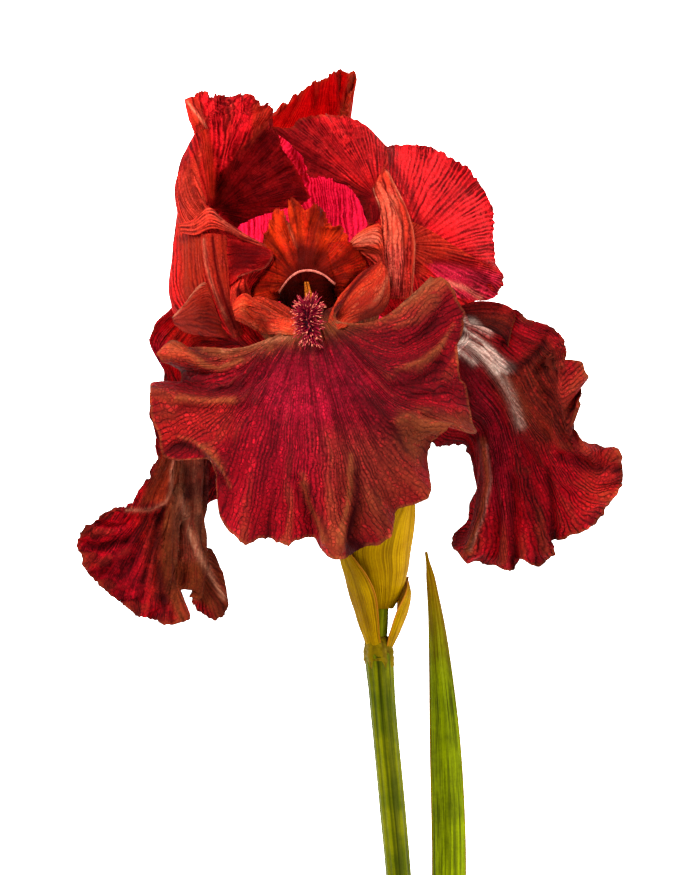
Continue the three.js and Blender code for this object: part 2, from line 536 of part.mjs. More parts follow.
for (const [side, [filament, anther]] of Object.entries(STAMENS)) {
  addPiece("filament_" + side, rodOf(filament, filament.map(() => FILAMENT_RADIUS), 6, 7), COLOURS.lip);
  addPiece("anther_" + side, antherOf(anther), COLOURS.anther);
}
Object.entries(BEARDS).forEach(([side, beard], seed) => {
  addPiece("beard_" + side, beardOf(beard, seed + 1), COLOURS.beard);
});
addPiece("perianth_tube", rodOf(TUBE_PATH, TUBE_RADII, 14, 8), COLOURS.tube);
addPiece("style_column", rodOf(COLUMN_PATH, COLUMN_RADII, 10, 5), COLOURS.style);
addPiece("ovary", rodOf(OVARY_PATH, OVARY_RADII, 12, 6), COLOURS.tube);
addPiece("pedicel", rodOf(PEDICEL_PATH, PEDICEL_PATH.map(() => PEDICEL_RADIUS), 10, 3),
  COLOURS.stem);
addPiece("stem", rodOf(STEM_PATH, STEM_RADII, STEM_SIDES, 12), COLOURS.stem);

// The row's origin is under the middle of the flower as it lies.
const box = new THREE.Box3().setFromObject(flower);
flower.position.set(-(box.min.x + box.max.x) / 2, -(box.min.y + box.max.y) / 2, -box.min.z);
flower.updateMatrixWorld(true);

export default flower;
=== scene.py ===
# A cut bearded iris in full bloom, lying on its back and seen from straight above. Each packed
# node is dressed with a finer piece of the same form: ruffled petals with forking veins, hairy
# beards, ribbed green parts.
import math

import bpy
import numpy as np
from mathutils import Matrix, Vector


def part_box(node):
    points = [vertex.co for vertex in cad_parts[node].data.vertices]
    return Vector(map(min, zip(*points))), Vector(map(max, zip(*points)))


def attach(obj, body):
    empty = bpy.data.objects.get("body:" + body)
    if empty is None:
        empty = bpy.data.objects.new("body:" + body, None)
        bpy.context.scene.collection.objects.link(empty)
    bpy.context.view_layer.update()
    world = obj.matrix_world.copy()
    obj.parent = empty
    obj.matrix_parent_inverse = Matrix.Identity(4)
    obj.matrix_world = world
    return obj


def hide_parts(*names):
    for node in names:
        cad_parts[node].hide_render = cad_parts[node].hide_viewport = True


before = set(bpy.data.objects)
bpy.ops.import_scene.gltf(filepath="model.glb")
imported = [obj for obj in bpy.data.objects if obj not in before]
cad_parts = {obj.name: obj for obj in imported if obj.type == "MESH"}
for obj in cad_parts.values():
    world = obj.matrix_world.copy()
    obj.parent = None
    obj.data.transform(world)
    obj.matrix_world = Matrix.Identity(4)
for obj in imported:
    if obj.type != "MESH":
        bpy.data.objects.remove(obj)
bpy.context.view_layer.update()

NET_UNIT = 0.00025  # metres for one step of the nets, which is also one pixel of the photograph
MILLIMETRE = 0.001
HEART_PIXEL = (350, 420)
PICTURE = (700, 875)  # pixels


def points_of(text):
    """Points from a text with blanks between them and commas between their numbers."""
    return [[float(number) for number in point.split(",")] for point in text.split()]


def rings_of(text):
    """Rings of points from a text with slashes between them."""
    return [points_of(ring) for ring in text.split("/")]


# The part's own nets: cross-sections from the claw to the margin, placed one by one. Each point is
# right, up the stem axis and towards the sky from the heart of the flower.

FALL_FRONT = rings_of("""
-9,2,20 0,0,23 9,2,20 / -22,22,44 -4,16,48 14,24,44
/ -107,106,93 -91,117,103 -60,98,105 -28,72,106 -8,84,106 12,114,102 32,150,97
/ -62,96,130 -52,96,146 -46,98,154 -39,102,158 -32,102,156 -24,104,148 -12,108,132
/ -75,82,146 -78,68,160 -60,58,176 -36,52,186 -14,60,178 -2,77,162 -5,95,142
/ -118,70,140 -118,48,150 -125,25,166 -115,-5,182 -88,-20,192 -55,-35,202 -25,-35,208 2,-32,204
25,-18,198 42,8,190 48,35,176 45,68,156 35,102,132
/ -174,80,104 -193,65,124 -172,43,100 -197,30,132 -193,-8,150 -181,-37,140 -137,-44,176
-128,-97,172 -105,-123,190 -80,-115,172 -62,-124,196 -38,-116,176 -15,-138,200 8,-128,178
38,-119,198 44,-91,176 77,-74,184 77,-32,160 97,-8,176 124,-10,148 114,25,128 105,68,140
113,99,112 99,130,120 80,143,96""")
FALL_LEFT = rings_of("""
-23,0,-4 -19,0,-11 -15,0,-18 / -52,42,-22 -50,35,-40 -44,40,-58
/ -115,92,-30 -112,80,-52 -102,72,-75 -92,76,-98 -82,90,-118
/ -143,133,-44 -150,110,-66 -155,92,-90 -155,78,-112 -145,66,-132 -125,60,-148 -105,58,-160
/ -198,88,-60 -190,74,-82 -178,54,-104 -165,36,-124 -145,18,-142 -122,12,-158 -100,14,-168
/ -185,46,-66 -178,38,-84 -170,26,-106 -158,12,-126 -144,0,-142 -126,-4,-156 -104,0,-168
/ -199,6,-70 -190,0,-88 -180,-8,-110 -166,-14,-128 -148,-16,-144 -128,-16,-158 -108,-12,-170
/ -192,-36,-74 -184,-42,-92 -175,-46,-110 -164,-46,-127 -150,-44,-142 -132,-40,-158 -112,-34,-168
/ -217,-84,-86 -222,-100,-98 -225,-120,-108 -215,-145,-118 -200,-162,-124 -185,-170,-130
-178,-150,-140 -162,-155,-150 -145,-165,-160 -150,-145,-162 -158,-120,-160 -158,-95,-164
-124,-70,-170
/ -228,-88,-88 -247,-93,-80 -257,-102,-94 -267,-110,-84 -271,-122,-98 -267,-140,-92 -260,-154,-110
-248,-168,-102 -232,-180,-122 -220,-190,-114 -202,-196,-134 -185,-204,-128 -163,-200,-144
-170,-181,-150 -175,-170,-156 -162,-170,-162 -158,-180,-158 -150,-192,-168 -132,-200,-176
-121,-188,-184 -126,-160,-178 -137,-135,-184 -148,-112,-176 -145,-88,-184 -121,-74,-180""")
FALL_RIGHT = rings_of("""
15,0,-18 19,0,-11 23,0,-4 / 44,40,-58 50,35,-40 52,42,-22
/ 82,84,-118 92,72,-98 102,66,-74 110,72,-50 112,86,-26
/ 80,35,-150 86,50,-132 96,65,-112 105,78,-92 112,90,-70 112,104,-48 106,118,-28
/ 84,-24,-168 100,4,-152 120,25,-130 140,42,-106 158,58,-82 172,78,-56 176,100,-30
/ 112,-26,-178 130,-20,-160 148,-12,-140 166,0,-118 184,18,-94 200,44,-68 212,82,-38
/ 130,-50,-180 130,-80,-172 122,-110,-162 140,-120,-152 160,-120,-144 180,-110,-134 200,-95,-124
222,-80,-112 235,-60,-100 240,-40,-88 220,-20,-76 212,8,-62 210,58,-46
/ 131,-38,-184 132,-60,-176 124,-82,-184 114,-105,-174 101,-120,-184 112,-138,-168 132,-142,-176
150,-146,-158 162,-151,-168 170,-139,-148 188,-145,-156 205,-134,-138 201,-125,-146 225,-113,-124
251,-98,-132 263,-78,-108 271,-58,-116 270,-30,-92 250,-26,-100 229,-18,-74 222,-3,-84 228,20,-56
229,35,-66 235,52,-38 212,62,-44""")
STANDARD_LEFT = rings_of("""
-15,0,18 -19,0,11 -23,0,4 / -26,36,40 -36,34,32 -42,36,16
/ -78,72,56 -93,72,62 -104,74,58 -108,80,42 -106,86,20
/ -91,97,64 -105,98,72 -113,97,76 -119,98,77 -125,100,76 -145,102,60 -162,103,34 -170,102,6
-160,100,-14
/ -98,130,98 -104,136,105 -112,134,100 -124,130,88 -137,130,80 -158,128,58 -178,125,22
-168,122,-14 -135,120,-34
/ -76,158,109 -92,162,111 -110,165,100 -126,164,92 -142,158,82 -160,158,58 -176,162,20
-160,162,-22 -124,162,-42
/ -84,171,96 -98,174,108 -114,176,108 -128,182,100 -143,182,88 -162,182,58 -172,190,18
-156,192,-26 -116,188,-46
/ -110,184,98 -122,190,104 -134,196,98 -147,200,86 -160,202,64 -170,206,34 -166,217,0 -140,214,-34
-88,204,-50
/ -138,208,80 -146,214,82 -154,218,74 -163,222,58 -170,226,38 -172,234,14 -158,240,-14
-120,236,-38 -44,216,-48
/ -150,245,50 -157,249,50 -162,252,42 -166,255,30 -166,258,16 -156,264,-2 -132,268,-22 -96,262,-38
-48,238,-48
/ -148,278,38 -152,281,36 -153,285,28 -150,290,18 -145,294,8 -138,296,-6 -118,294,-20 -92,286,-32
-66,268,-42
/ -163,316,18 -159,319,10 -153,322,8 -148,325,-4 -143,325,-2 -137,322,-14 -131,323,-8 -123,321,-20
-115,322,-14 -106,324,-26 -98,323,-20 -92,316,-32 -88,313,-28 -82,315,-38 -78,310,-34 -76,300,-42
-74,288,-44""")
STANDARD_RIGHT = rings_of("""
15,0,18 19,0,11 23,0,4 / 30,36,40 40,36,32 46,36,16 / 44,86,58 52,88,62 60,90,56 66,94,40 68,96,20
/ 20,114,60 28,119,66 37,122,71 46,123,73 54,124,71 75,122,52 98,118,28 118,118,2 128,120,-12
/ 12,158,72 22,155,77 32,151,80 40,149,81 48,150,78 70,152,64 100,148,38 130,135,8 148,126,-14
/ 0,170,82 12,174,92 24,176,94 36,176,92 48,180,86 70,184,62 100,172,38 130,156,14 151,143,-10
/ 16,192,80 22,197,88 28,201,92 36,207,90 46,212,84 70,206,66 100,192,40 128,172,8 144,157,-18
/ 12,215,74 18,220,82 24,225,84 30,231,82 38,236,74 65,235,50 95,225,24 125,205,-4 143,180,-24
/ -15,237,64 -5,242,72 6,248,74 18,254,70 30,260,58 55,256,34 85,250,10 115,232,-16 141,205,-34
/ -42,242,48 -48,262,42 -60,274,36 -77,289,28 -60,289,34 -47,298,26 -30,301,34 -15,302,26 2,299,34
20,287,26 33,273,26 47,272,10 70,272,4 95,263,-14 116,250,-18 130,234,-34 142,210,-38""")
STANDARD_BACK = rings_of("""
-8,0,-21 0,0,-23 8,0,-21 / -16,34,-50 0,32,-56 16,34,-50
/ -40,80,-92 -20,78,-108 0,78,-112 20,78,-108 40,82,-92
/ -110,140,-100 -90,138,-130 -62,137,-152 -30,136,-164 -5,136,-168 20,136,-164 45,138,-152
68,140,-130 82,142,-100
/ -125,205,-90 -104,206,-128 -74,208,-156 -40,210,-176 -8,212,-184 24,210,-176 52,208,-156
76,206,-126 90,204,-90
/ -110,265,-72 -94,268,-104 -70,270,-128 -42,274,-144 -12,276,-150 0,276,-146 12,262,-130
30,248,-106 52,228,-78
/ -78,308,-56 -67,313,-68 -60,317,-66 -53,324,-84 -46,330,-80 -38,338,-98 -30,337,-90 -20,345,-104
-10,348,-92 -2,346,-100 6,346,-84 2,330,-88 -4,312,-74 -3,298,-80 8,284,-66 26,268,-72
48,252,-64""")
STYLE_FRONT = rings_of("""
-12,34,20 -2,34,28 8,34,20 / -36,76,54 -24,82,72 -12,84,78 0,84,72 12,80,54
/ -68,112,86 -60,122,104 -48,128,114 -38,130,118 -28,130,114 -18,126,102 -10,116,86
/ -71,128,118 -62,140,126 -53,147,130 -44,149,132 -34,148,130 -24,144,126 -14,136,118
/ -85,127,104 -83,156,94 -70,174,106 -52,168,112 -42,184,104 -18,170,104 0,136,106
/ -92,112,93 -101,135,76 -93,156,78 -86,174,76 -82,192,86 -75,201,86 -68,206,90 -61,194,88
-54,174,100 -58,198,92 -60,216,88 -50,212,82 -38,211,88 -28,204,80 -17,191,90 -7,190,80 0,174,90
7,160,84 15,145,92 8,133,90 -5,121,100""")
STYLE_LEFT = rings_of("""
-22,34,8 -20,36,-4 -12,34,-12 / -52,80,-6 -56,92,-14 -56,94,-28 -50,92,-42 -42,78,-50
/ -82,108,-28 -88,120,-36 -89,126,-50 -82,122,-64 -70,108,-74
/ -92,118,-30 -100,138,-32 -92,158,-42 -96,140,-56 -90,160,-66 -84,148,-78 -72,124,-84""")
LIP_FRONT = rings_of("""
-70,127,122 -61,139,130 -52,146,134 -43,148,136 -34,147,134 -25,143,130 -15,135,122
/ -69,122,123 -61,134,131 -52,141,136 -43,143,138 -34,142,136 -26,138,131 -17,130,123""")
LIP_LEFT = rings_of("""
-82,102,-33 -86,111,-40 -87,116,-51 -80,112,-62 -72,101,-68
/ -84,97,-34 -88,105,-41 -89,109,-51 -82,105,-61 -74,96,-66""")
TUBE_PATH = points_of("0,-3,0 0,-9,0 10,-48,-6 24,-96,-14")
OVARY_PATH = points_of("25,-100,-15 28,-140,-21 32,-184,-28")
PEDICEL_PATH = points_of("32.3,-187,-28.5 31.5,-208,-30.5 29,-230,-33")
STEM_PATH = points_of("29,-232.5,-33 33,-285,-42 42,-380,-68 50,-470,-94 60,-600,-132 75,-740,-169")
COLUMN_PATH = points_of("0,-1.5,1 0,6,1 -2,20,6 -2,31,7")
SPATHE_INNER = points_of("""
32,-187,-28,9.8,-80,258 32,-174,-26,17,-80,258 30,-152,-22,26,-78,255 28,-130,-19,31,-70,250
30,-105,-15,33,-55,215 32,-83,-12,32,-30,150 36,-62,-9,29,0,118 40,-46,-7,26,30,76""")
SPATHE_LEFT = points_of("""
29,-228,-33,11,75,230 29,-214,-31,15.5,88,225 30,-195,-29,23,94,220 30,-175,-26,30,98,215
30,-155,-22,34.5,112,205 28,-137,-20,37,130,195 27,-120,-17,38,165,188""")
SPATHE_RIGHT = points_of("""
29,-228,-33,11,-70,50 31,-212,-31,17,-60,60 33,-190,-28,24,-55,55 33,-173,-25,26.5,-58,34
31,-156,-22,31,-52,-26""")
LEAF = rings_of("""
68,-728,-181 83,-728,-179 89.5,-728,-166 83,-728,-153 68,-728,-151
/ 73,-700,-177 86,-700,-171 90.5,-700,-158 84,-700,-144 78,-700,-140
/ 84,-660,-168 93,-660,-161 98,-660,-153 95,-660,-145 88,-660,-139
/ 82,-600,-160 92,-600,-154 101,-600,-150 107,-600,-149 111,-600,-151
/ 80,-540,-158 88,-540,-152 97,-540,-148 105,-540,-151 113,-540,-157
/ 82,-440,-156 90,-440,-150 99,-440,-146 108,-440,-149 116,-440,-155
/ 80,-330,-153 88,-330,-148 96,-330,-144 104,-330,-147 111,-330,-152
/ 79,-230,-150 84,-230,-146 89,-230,-143 94,-230,-145 99,-230,-149
/ 77,-170,-146 79,-169,-144 82,-168,-143 85,-168,-144 87,-168,-146
/ 75,-132,-144 75.5,-132,-143.5 76,-131,-143 76.5,-132,-143.5 77,-132,-144""")


def mirrored(net):
    return [[[-x, y, z] for x, y, z in ring][::-1] for ring in net]


STYLE_RIGHT = mirrored(STYLE_LEFT)
LIP_RIGHT = mirrored(LIP_LEFT)

# The filament and the anther of each stamen.
STAMENS = {
    "front": rings_of("-1,-1.5,14 -2,12,20 -6,40,54 -22,80,92 -33,97,108"
                      " / -36,102,113 -40,118,122 -43,136,129"),
    "left": rings_of("-13,-1.5,-7 -17,12,-9 -42,50,-28 -62,80,-42 -68,86,-46"
                     " / -70,89,-47 -77,97,-50 -84,104,-54"),
}
STAMENS["right"] = [[[-x, y, z] for x, y, z in points] for points in STAMENS["left"]]

COLLAR_PATH = points_of("27,-218,-30 28.5,-231,-33 31,-246,-36")

# Radii in millimetres.
TUBE_RADII = [6.1, 5.2, 3.6, 3.4]
OVARY_RADII = [3.4, 3.6, 1.9]
COLUMN_RADII = [2.6, 2.3, 2.5, 4.0]
STEM_RADII = [3.7, 3.3, 3.3, 3.2, 3.1, 3.1]
COLLAR_RADII = [3.0, 3.95, 3.5]
PEDICEL_RADIUS = 1.5
FILAMENT_RADIUS = 0.5

# Each beard: its fall, the sections of the net between which it lies, the face it lies on, the
# number of its hairs and their length in net units.
BEARDS = {
    "front": (FALL_FRONT, 2.62, 3.6, -1, 340, 17),
    "left": (FALL_LEFT, 1.9, 3.1, 1, 150, 13),
    "right": (FALL_RIGHT, 1.9, 3.1, 1, 150, 13),
}


def arc(level, points):
    """A spathe level as points on its arc, its angles counted from the right round the front."""
    x, y, z, radius, start, end = level
    a = np.radians(np.linspace(end, start, points))
    return np.stack([x + radius * np.cos(a), np.full(points, y), z + radius * np.sin(a)], 1)


def spline(points, at):
    """A uniform Catmull-Rom curve through points, read at places from 0 to 1."""
    p = np.asarray(points, float)
    p = np.concatenate([2 * p[:1] - p[1:2], p, 2 * p[-1:] - p[-2:-1]])
    x = np.asarray(at, float) * (len(p) - 3)
    k = np.clip(x.astype(int), 0, len(p) - 4)
    w = (x - k).reshape((-1,) + (1,) * (p.ndim - 1))
    a, b, c, d = p[k], p[k + 1], p[k + 2], p[k + 3]
    t0, t1 = 0.5 * (c - a), 0.5 * (d - b)
    return b + t0 * w + (3 * (c - b) - 2 * t0 - t1) * w**2 + (2 * (b - c) + t0 + t1) * w**3


def smooth(x, low, high):
    """0 below low, 1 above high and a soft step between."""
    t = np.clip((x - low) / (high - low), 0, 1)
    return t * t * (3 - 2 * t)


NOISE_CELLS = 64  # the random table repeats after so many


def noise(x, y, seed):
    """Smooth random heights from -1 to 1 over a plane."""
    n = NOISE_CELLS
    table = np.random.default_rng(seed).uniform(-1, 1, (n, n))
    x, y = np.broadcast_arrays(x, y)
    i, j = np.floor(x).astype(int), np.floor(y).astype(int)
    a, b = x - i, y - j
    a, b = a * a * (3 - 2 * a), b * b * (3 - 2 * b)
    low = table[i % n, j % n] * (1 - a) + table[(i + 1) % n, j % n] * a
    high = table[i % n, (j + 1) % n] * (1 - a) + table[(i + 1) % n, (j + 1) % n] * a
    return low * (1 - b) + high * b


def unit(vectors):
    return vectors / np.linalg.norm(vectors, axis=1, keepdims=True)


def normals_of(grid):
    n = np.cross(np.gradient(grid, axis=1), np.gradient(grid, axis=0))
    return n / np.maximum(np.linalg.norm(n, axis=2, keepdims=True), 1e-9)


def blurred(values, passes):
    """Values of a grid, each the mean of its neighbours, again and again."""
    for _ in range(passes):
        p = np.pad(values, 1, mode="edge")
        values = (p[1:-1, 1:-1] * 2 + p[:-2, 1:-1] + p[2:, 1:-1] + p[1:-1, :-2] + p[1:-1, 2:]) / 6
    return values


class Sheet:
    """A net at fine steps: its grid, and for each point u across and s along, from 0 to 1."""

    def __init__(self, net, across, rows):
        us = np.linspace(0, 1, across + 1)
        sections = np.stack([spline(ring, us) for ring in net])
        lengths = np.linalg.norm(np.diff(sections, axis=0), axis=2).mean(1)
        steps = np.maximum(np.round(rows * lengths / lengths.sum()).astype(int), 3)
        v = np.concatenate([k + np.arange(n) / n for k, n in enumerate(steps)] + [[len(net) - 1]])
        self.grid = spline(sections, v / (len(net) - 1))
        self.u = us[None, :]
        travelled = np.concatenate([[0], np.cumsum(lengths)]) / lengths.sum()
        self.s = np.interp(v, np.arange(len(net)), travelled)[:, None]
        self.side = np.sign(normals_of(self.grid)[..., 2].sum())  # of the normals: 1 is skyward
        self.tones = {}

    def spread(self, values):
        """Values for every point of the grid."""
        return np.broadcast_to(values, self.grid.shape[:2])

    def raise_by(self, heights, skyward=False):
        """Moves each point along its normal. Skyward, the way is up on both sides of a fold."""
        n = normals_of(self.grid)
        up = n[..., 2] / np.sqrt(n[..., 2] ** 2 + 0.05) if skyward else self.side
        self.grid = self.grid + n * (up * self.spread(heights))[..., None]

    def pixels(self):
        return self.grid[..., 0] + HEART_PIXEL[0], HEART_PIXEL[1] - self.grid[..., 1]

    def distance(self, line):
        """Distance of each point, as seen from above, from a line of photograph pixels. It is
        below 0 on the left of the line as one walks along it."""
        x, y = self.pixels()
        nearest, sign = np.full(x.shape, np.inf), np.ones(x.shape)
        for (ax, ay), (bx, by) in zip(line, line[1:]):
            dx, dy = bx - ax, by - ay
            t = np.clip(((x - ax) * dx + (y - ay) * dy) / (dx * dx + dy * dy), 0, 1)
            d = np.hypot(x - ax - t * dx, y - ay - t * dy)
            sign = np.where(d < nearest, np.sign(dx * (y - ay) - dy * (x - ax)), sign)
            nearest = np.minimum(nearest, d)
        return nearest * sign

    def near(self, line, width):
        """1 on a line of photograph pixels and fading past its width, as seen from above."""
        return np.exp(-((self.distance(line) / width) ** 2))

    def inside(self, outline, soft):
        """1 inside an outline of photograph pixels, with soft edges, as seen from above."""
        x, y = self.pixels()
        closed = outline + outline[:1]
        odd = np.zeros(x.shape, bool)
        for (ax, ay), (bx, by) in zip(closed, closed[1:]):
            if ay != by:
                crosses = (ay > y) != (by > y)
                odd ^= crosses & (x < ax + (y - ay) * (bx - ax) / (by - ay))
        return smooth(np.abs(self.distance(closed)) * np.where(odd, 1, -1), -soft, soft)

    def tone(self, name, values):
        self.tones[name] = self.tones.get(name, 0.0) + values

    def widths(self):
        return np.linalg.norm(np.diff(self.grid, axis=1), axis=2).sum(1)[:, None]

    def reach(self):
        return np.linalg.norm(np.diff(self.grid, axis=0), axis=2).mean(1).sum()


def rod_rings(points, radii, sides, steps):
    """The rings of a rod along a curve, the axis at each ring, and its steps from 0 to 1."""
    at = np.linspace(0, 1, steps + 1)
    ends = np.clip(np.stack([at - 1e-4, at + 1e-4]), 0, 1)
    axes = unit(spline(points, ends[1]) - spline(points, ends[0]))
    right = unit(np.cross(axes, [0, 0, 1.0]))
    over = np.cross(right, axes)
    a = 2 * np.pi * np.arange(sides) / sides
    sizes = spline(radii, at)[:, None, None]
    out = right[:, None] * np.cos(a)[None, :, None] * sizes
    out = out + over[:, None] * np.sin(a)[None, :, None] * sizes
    return spline(points, at)[:, None] + out, axes, at


def in_net_units(radii):
    return [r * MILLIMETRE / NET_UNIT for r in radii]


PART_SIDES, PART_STEPS = 12, 6  # of the part's own ovary


def heart_place():
    """Where the heart of the flower lies in the frame, found from the ovary, which is built here
    as the part builds it."""
    rings, _, _ = rod_rings(OVARY_PATH, in_net_units(OVARY_RADII), PART_SIDES, PART_STEPS)
    return np.array(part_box("ovary")[0]) - rings.reshape(-1, 3).min(0) * NET_UNIT


HEART = heart_place()
REST_HEIGHT = 0.00005  # nothing sinks into the floor


def add_object(name, data):
    piece = bpy.data.objects.new(name, data)
    bpy.context.collection.objects.link(piece)
    return piece


def add_piece(name, points, faces, look, node, tones, sharp=50):
    """A mesh piece from points in net units round the heart, riding on the flower. Sharp is the
    angle in degrees from which an edge isn't smoothed."""
    mesh = bpy.data.meshes.new(name)
    corners = np.concatenate([f.ravel() for f in faces])
    sizes = np.concatenate([np.full(len(f), f.shape[1]) for f in faces])
    starts = np.concatenate([[0], np.cumsum(sizes)[:-1]])
    mesh.vertices.add(len(points))
    places = points * NET_UNIT + HEART
    places[:, 2] = np.maximum(places[:, 2], REST_HEIGHT)
    mesh.vertices.foreach_set("co", places.ravel())
    mesh.loops.add(len(corners))
    mesh.loops.foreach_set("vertex_index", corners.astype(np.int32))
    mesh.polygons.add(len(sizes))
    mesh.polygons.foreach_set("loop_start", starts.astype(np.int32))
    mesh.materials.append(look)
    mesh.update(calc_edges=True)
    for key, values in tones.items():
        layer = mesh.attributes.new(key, "FLOAT", "POINT")
        layer.data.foreach_set("value", values.astype(np.float32).ravel())
    mesh.validate()
    mesh.shade_smooth()
    mesh.set_sharp_from_angle(angle=math.radians(sharp))
    piece = add_object(name, mesh)
    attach(piece, "root")
    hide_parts(node)


def shell_faces(rows, columns):
    """Faces of a closed shell: the front grid, the back grid turned over, and the rim."""
    index = np.arange(rows * columns).reshape(rows, columns)
    a, b, c, d = index[:-1, :-1], index[:-1, 1:], index[1:, 1:], index[1:, :-1]
    front = np.stack([a, b, c, d], -1).reshape(-1, 4)
    half = rows * columns
    rim = np.concatenate([
        np.stack([index[0, 1:], index[0, :-1]], 1), np.stack([index[-1, :-1], index[-1, 1:]], 1),
        np.stack([index[:-1, 0], index[1:, 0]], 1), np.stack([index[1:, -1], index[:-1, -1]], 1)])
    rim = np.stack([rim[:, 0], rim[:, 1], half + rim[:, 1], half + rim[:, 0]], 1)
    return [np.concatenate([front, front[:, ::-1] + half, rim])]


def add_sheet(name, sheet, thickness, look, node):
    """A thin petal, bract or leaf round its sheet, with a thickness in net units for each point."""
    n = normals_of(sheet.grid) * (sheet.spread(thickness) / 2)[..., None]
    points = np.concatenate([(sheet.grid + n).reshape(-1, 3), (sheet.grid - n).reshape(-1, 3)])
    tones = {k: np.tile(sheet.spread(v).ravel(), 2) for k, v in sheet.tones.items()}
    add_piece(name, points, shell_faces(*sheet.grid.shape[:2]), look, node, tones)


def rgb(r, g, b):
    """A colour given as 0 to 255 on screen, for a shader socket."""
    def linear(c):
        c = c / 255
        return c / 12.92 if c <= 0.04045 else ((c + 0.055) / 1.055) ** 2.4
    return (linear(r), linear(g), linear(b), 1.0)


class Look:
    """A material of nodes. Tones are the values that a piece's mesh carries for each point."""

    def __init__(self, name):
        self.material = bpy.data.materials.new(name)
        self.material.use_nodes = True
        self.tree = self.material.node_tree
        self.tree.nodes.clear()

    def node(self, kind, inputs=(), **settings):
        n = self.tree.nodes.new("ShaderNode" + kind)
        for key, value in settings.items():
            setattr(n, key, value)
        for key, value in dict(inputs).items():
            if isinstance(value, bpy.types.NodeSocket):
                self.tree.links.new(value, n.inputs[key])
            else:
                n.inputs[key].default_value = value
        return n

    def calc(self, operation, *values):
        return self.node("Math", dict(enumerate(values)), operation=operation).outputs[0]

    def times(self, a, b):
        return self.calc("MULTIPLY", a, b)

    def less(self, a, b):
        return self.calc("SUBTRACT", a, b)

    def plus(self, a, b):
        return self.calc("ADD", a, b)

    def size(self, a):
        return self.calc("ABSOLUTE", a)

    def ramp(self, value, low, high, start=0.0, end=1.0):
        inputs = {"Value": value, "From Min": low, "From Max": high, "To Min": start,
                  "To Max": end}
        return self.node("MapRange", inputs, interpolation_type="SMOOTHSTEP").outputs[0]

    def mix(self, factor, a, b):
        return self.node("Mix", {0: factor, 6: a, 7: b}, data_type="RGBA").outputs[2]

    def coats(self, colour, *coats):
        """A colour with coats over it, each a share and its own colour."""
        for share, coat in coats:
            colour = self.mix(share, colour, coat)
        return colour

    def tone(self, name):
        return self.node("Attribute", attribute_name=name).outputs["Fac"]

    def place(self):
        return self.node("TexCoord").outputs["Object"]

    def cloud(self, place, scale, detail, roughness):
        inputs = {"Vector": place, "Scale": scale, "Detail": detail, "Roughness": roughness}
        return self.node("TexNoise", inputs).outputs[0]

    def speckle(self, scale, detail=3.0):
        """Fine noise over the piece, in metres of the frame."""
        return self.cloud(self.place(), scale, detail, 0.6)

    def streaks(self, wide, long, detail):
        """Noise that runs with the veins."""
        place = self.node("CombineXYZ", {0: self.times(self.tone("across"), wide),
                                         1: self.times(self.tone("travel"), long)}).outputs[0]
        return self.cloud(place, 1.0, detail, 0.65)

    def bump(self, height, strength, distance):
        inputs = {"Strength": strength, "Distance": distance, "Height": height}
        return self.node("Bump", inputs).outputs[0]

    def surface(self, colour, roughness, specular, **inputs):
        inputs = {name.replace("_", " "): value for name, value in inputs.items()}
        return self.node("BsdfPrincipled", {"Base Color": colour, "Roughness": roughness,
                                            "Specular IOR Level": specular, **inputs})

    def seen_through(self, share, shader, colour, normal):
        """A surface that lets a share of the light through in a colour."""
        back = self.node("BsdfTranslucent", {"Color": colour, "Normal": normal})
        return self.node("MixShader", {0: share, 1: shader.outputs[0], 2: back.outputs[0]})

    def done(self, shader):
        output = self.node("OutputMaterial")
        self.tree.links.new(shader.outputs[0], output.inputs["Surface"])
        return self.material


def vein_distance(k):
    """Distance in pixels from the nearest vein. A vein forks twice on its way to the margin."""
    wander = k.times(k.less(k.speckle(420.0, 2.0), 0.5), 0.22)
    main = k.size(k.less(k.calc("FRACT", k.plus(k.tone("across"), wander)), 0.5))
    fork = k.size(k.less(main, k.tone("fork_one")))
    twig = k.size(k.less(fork, k.tone("fork_two")))
    return k.times(twig, k.tone("pitch"))


# Colours for the tones. The glow red is painted backlight, the velvet brown is partly painted
# sheen, and the dark is partly painted shade.
PETAL_COLOURS = {
    "dark": rgb(40, 2, 4), "deep": rgb(54, 1, 7), "body": rgb(88, 5, 15),
    "glow": rgb(156, 9, 24), "ember": rgb(220, 60, 28), "blush": rgb(190, 18, 52),
    "velvet": rgb(124, 66, 32), "pale": rgb(206, 126, 88), "vein": rgb(34, 2, 4),
    "spark": rgb(196, 20, 36),
    "through": rgb(250, 46, 56), "pink": rgb(255, 96, 150), "sheen": rgb(190, 96, 50),
}


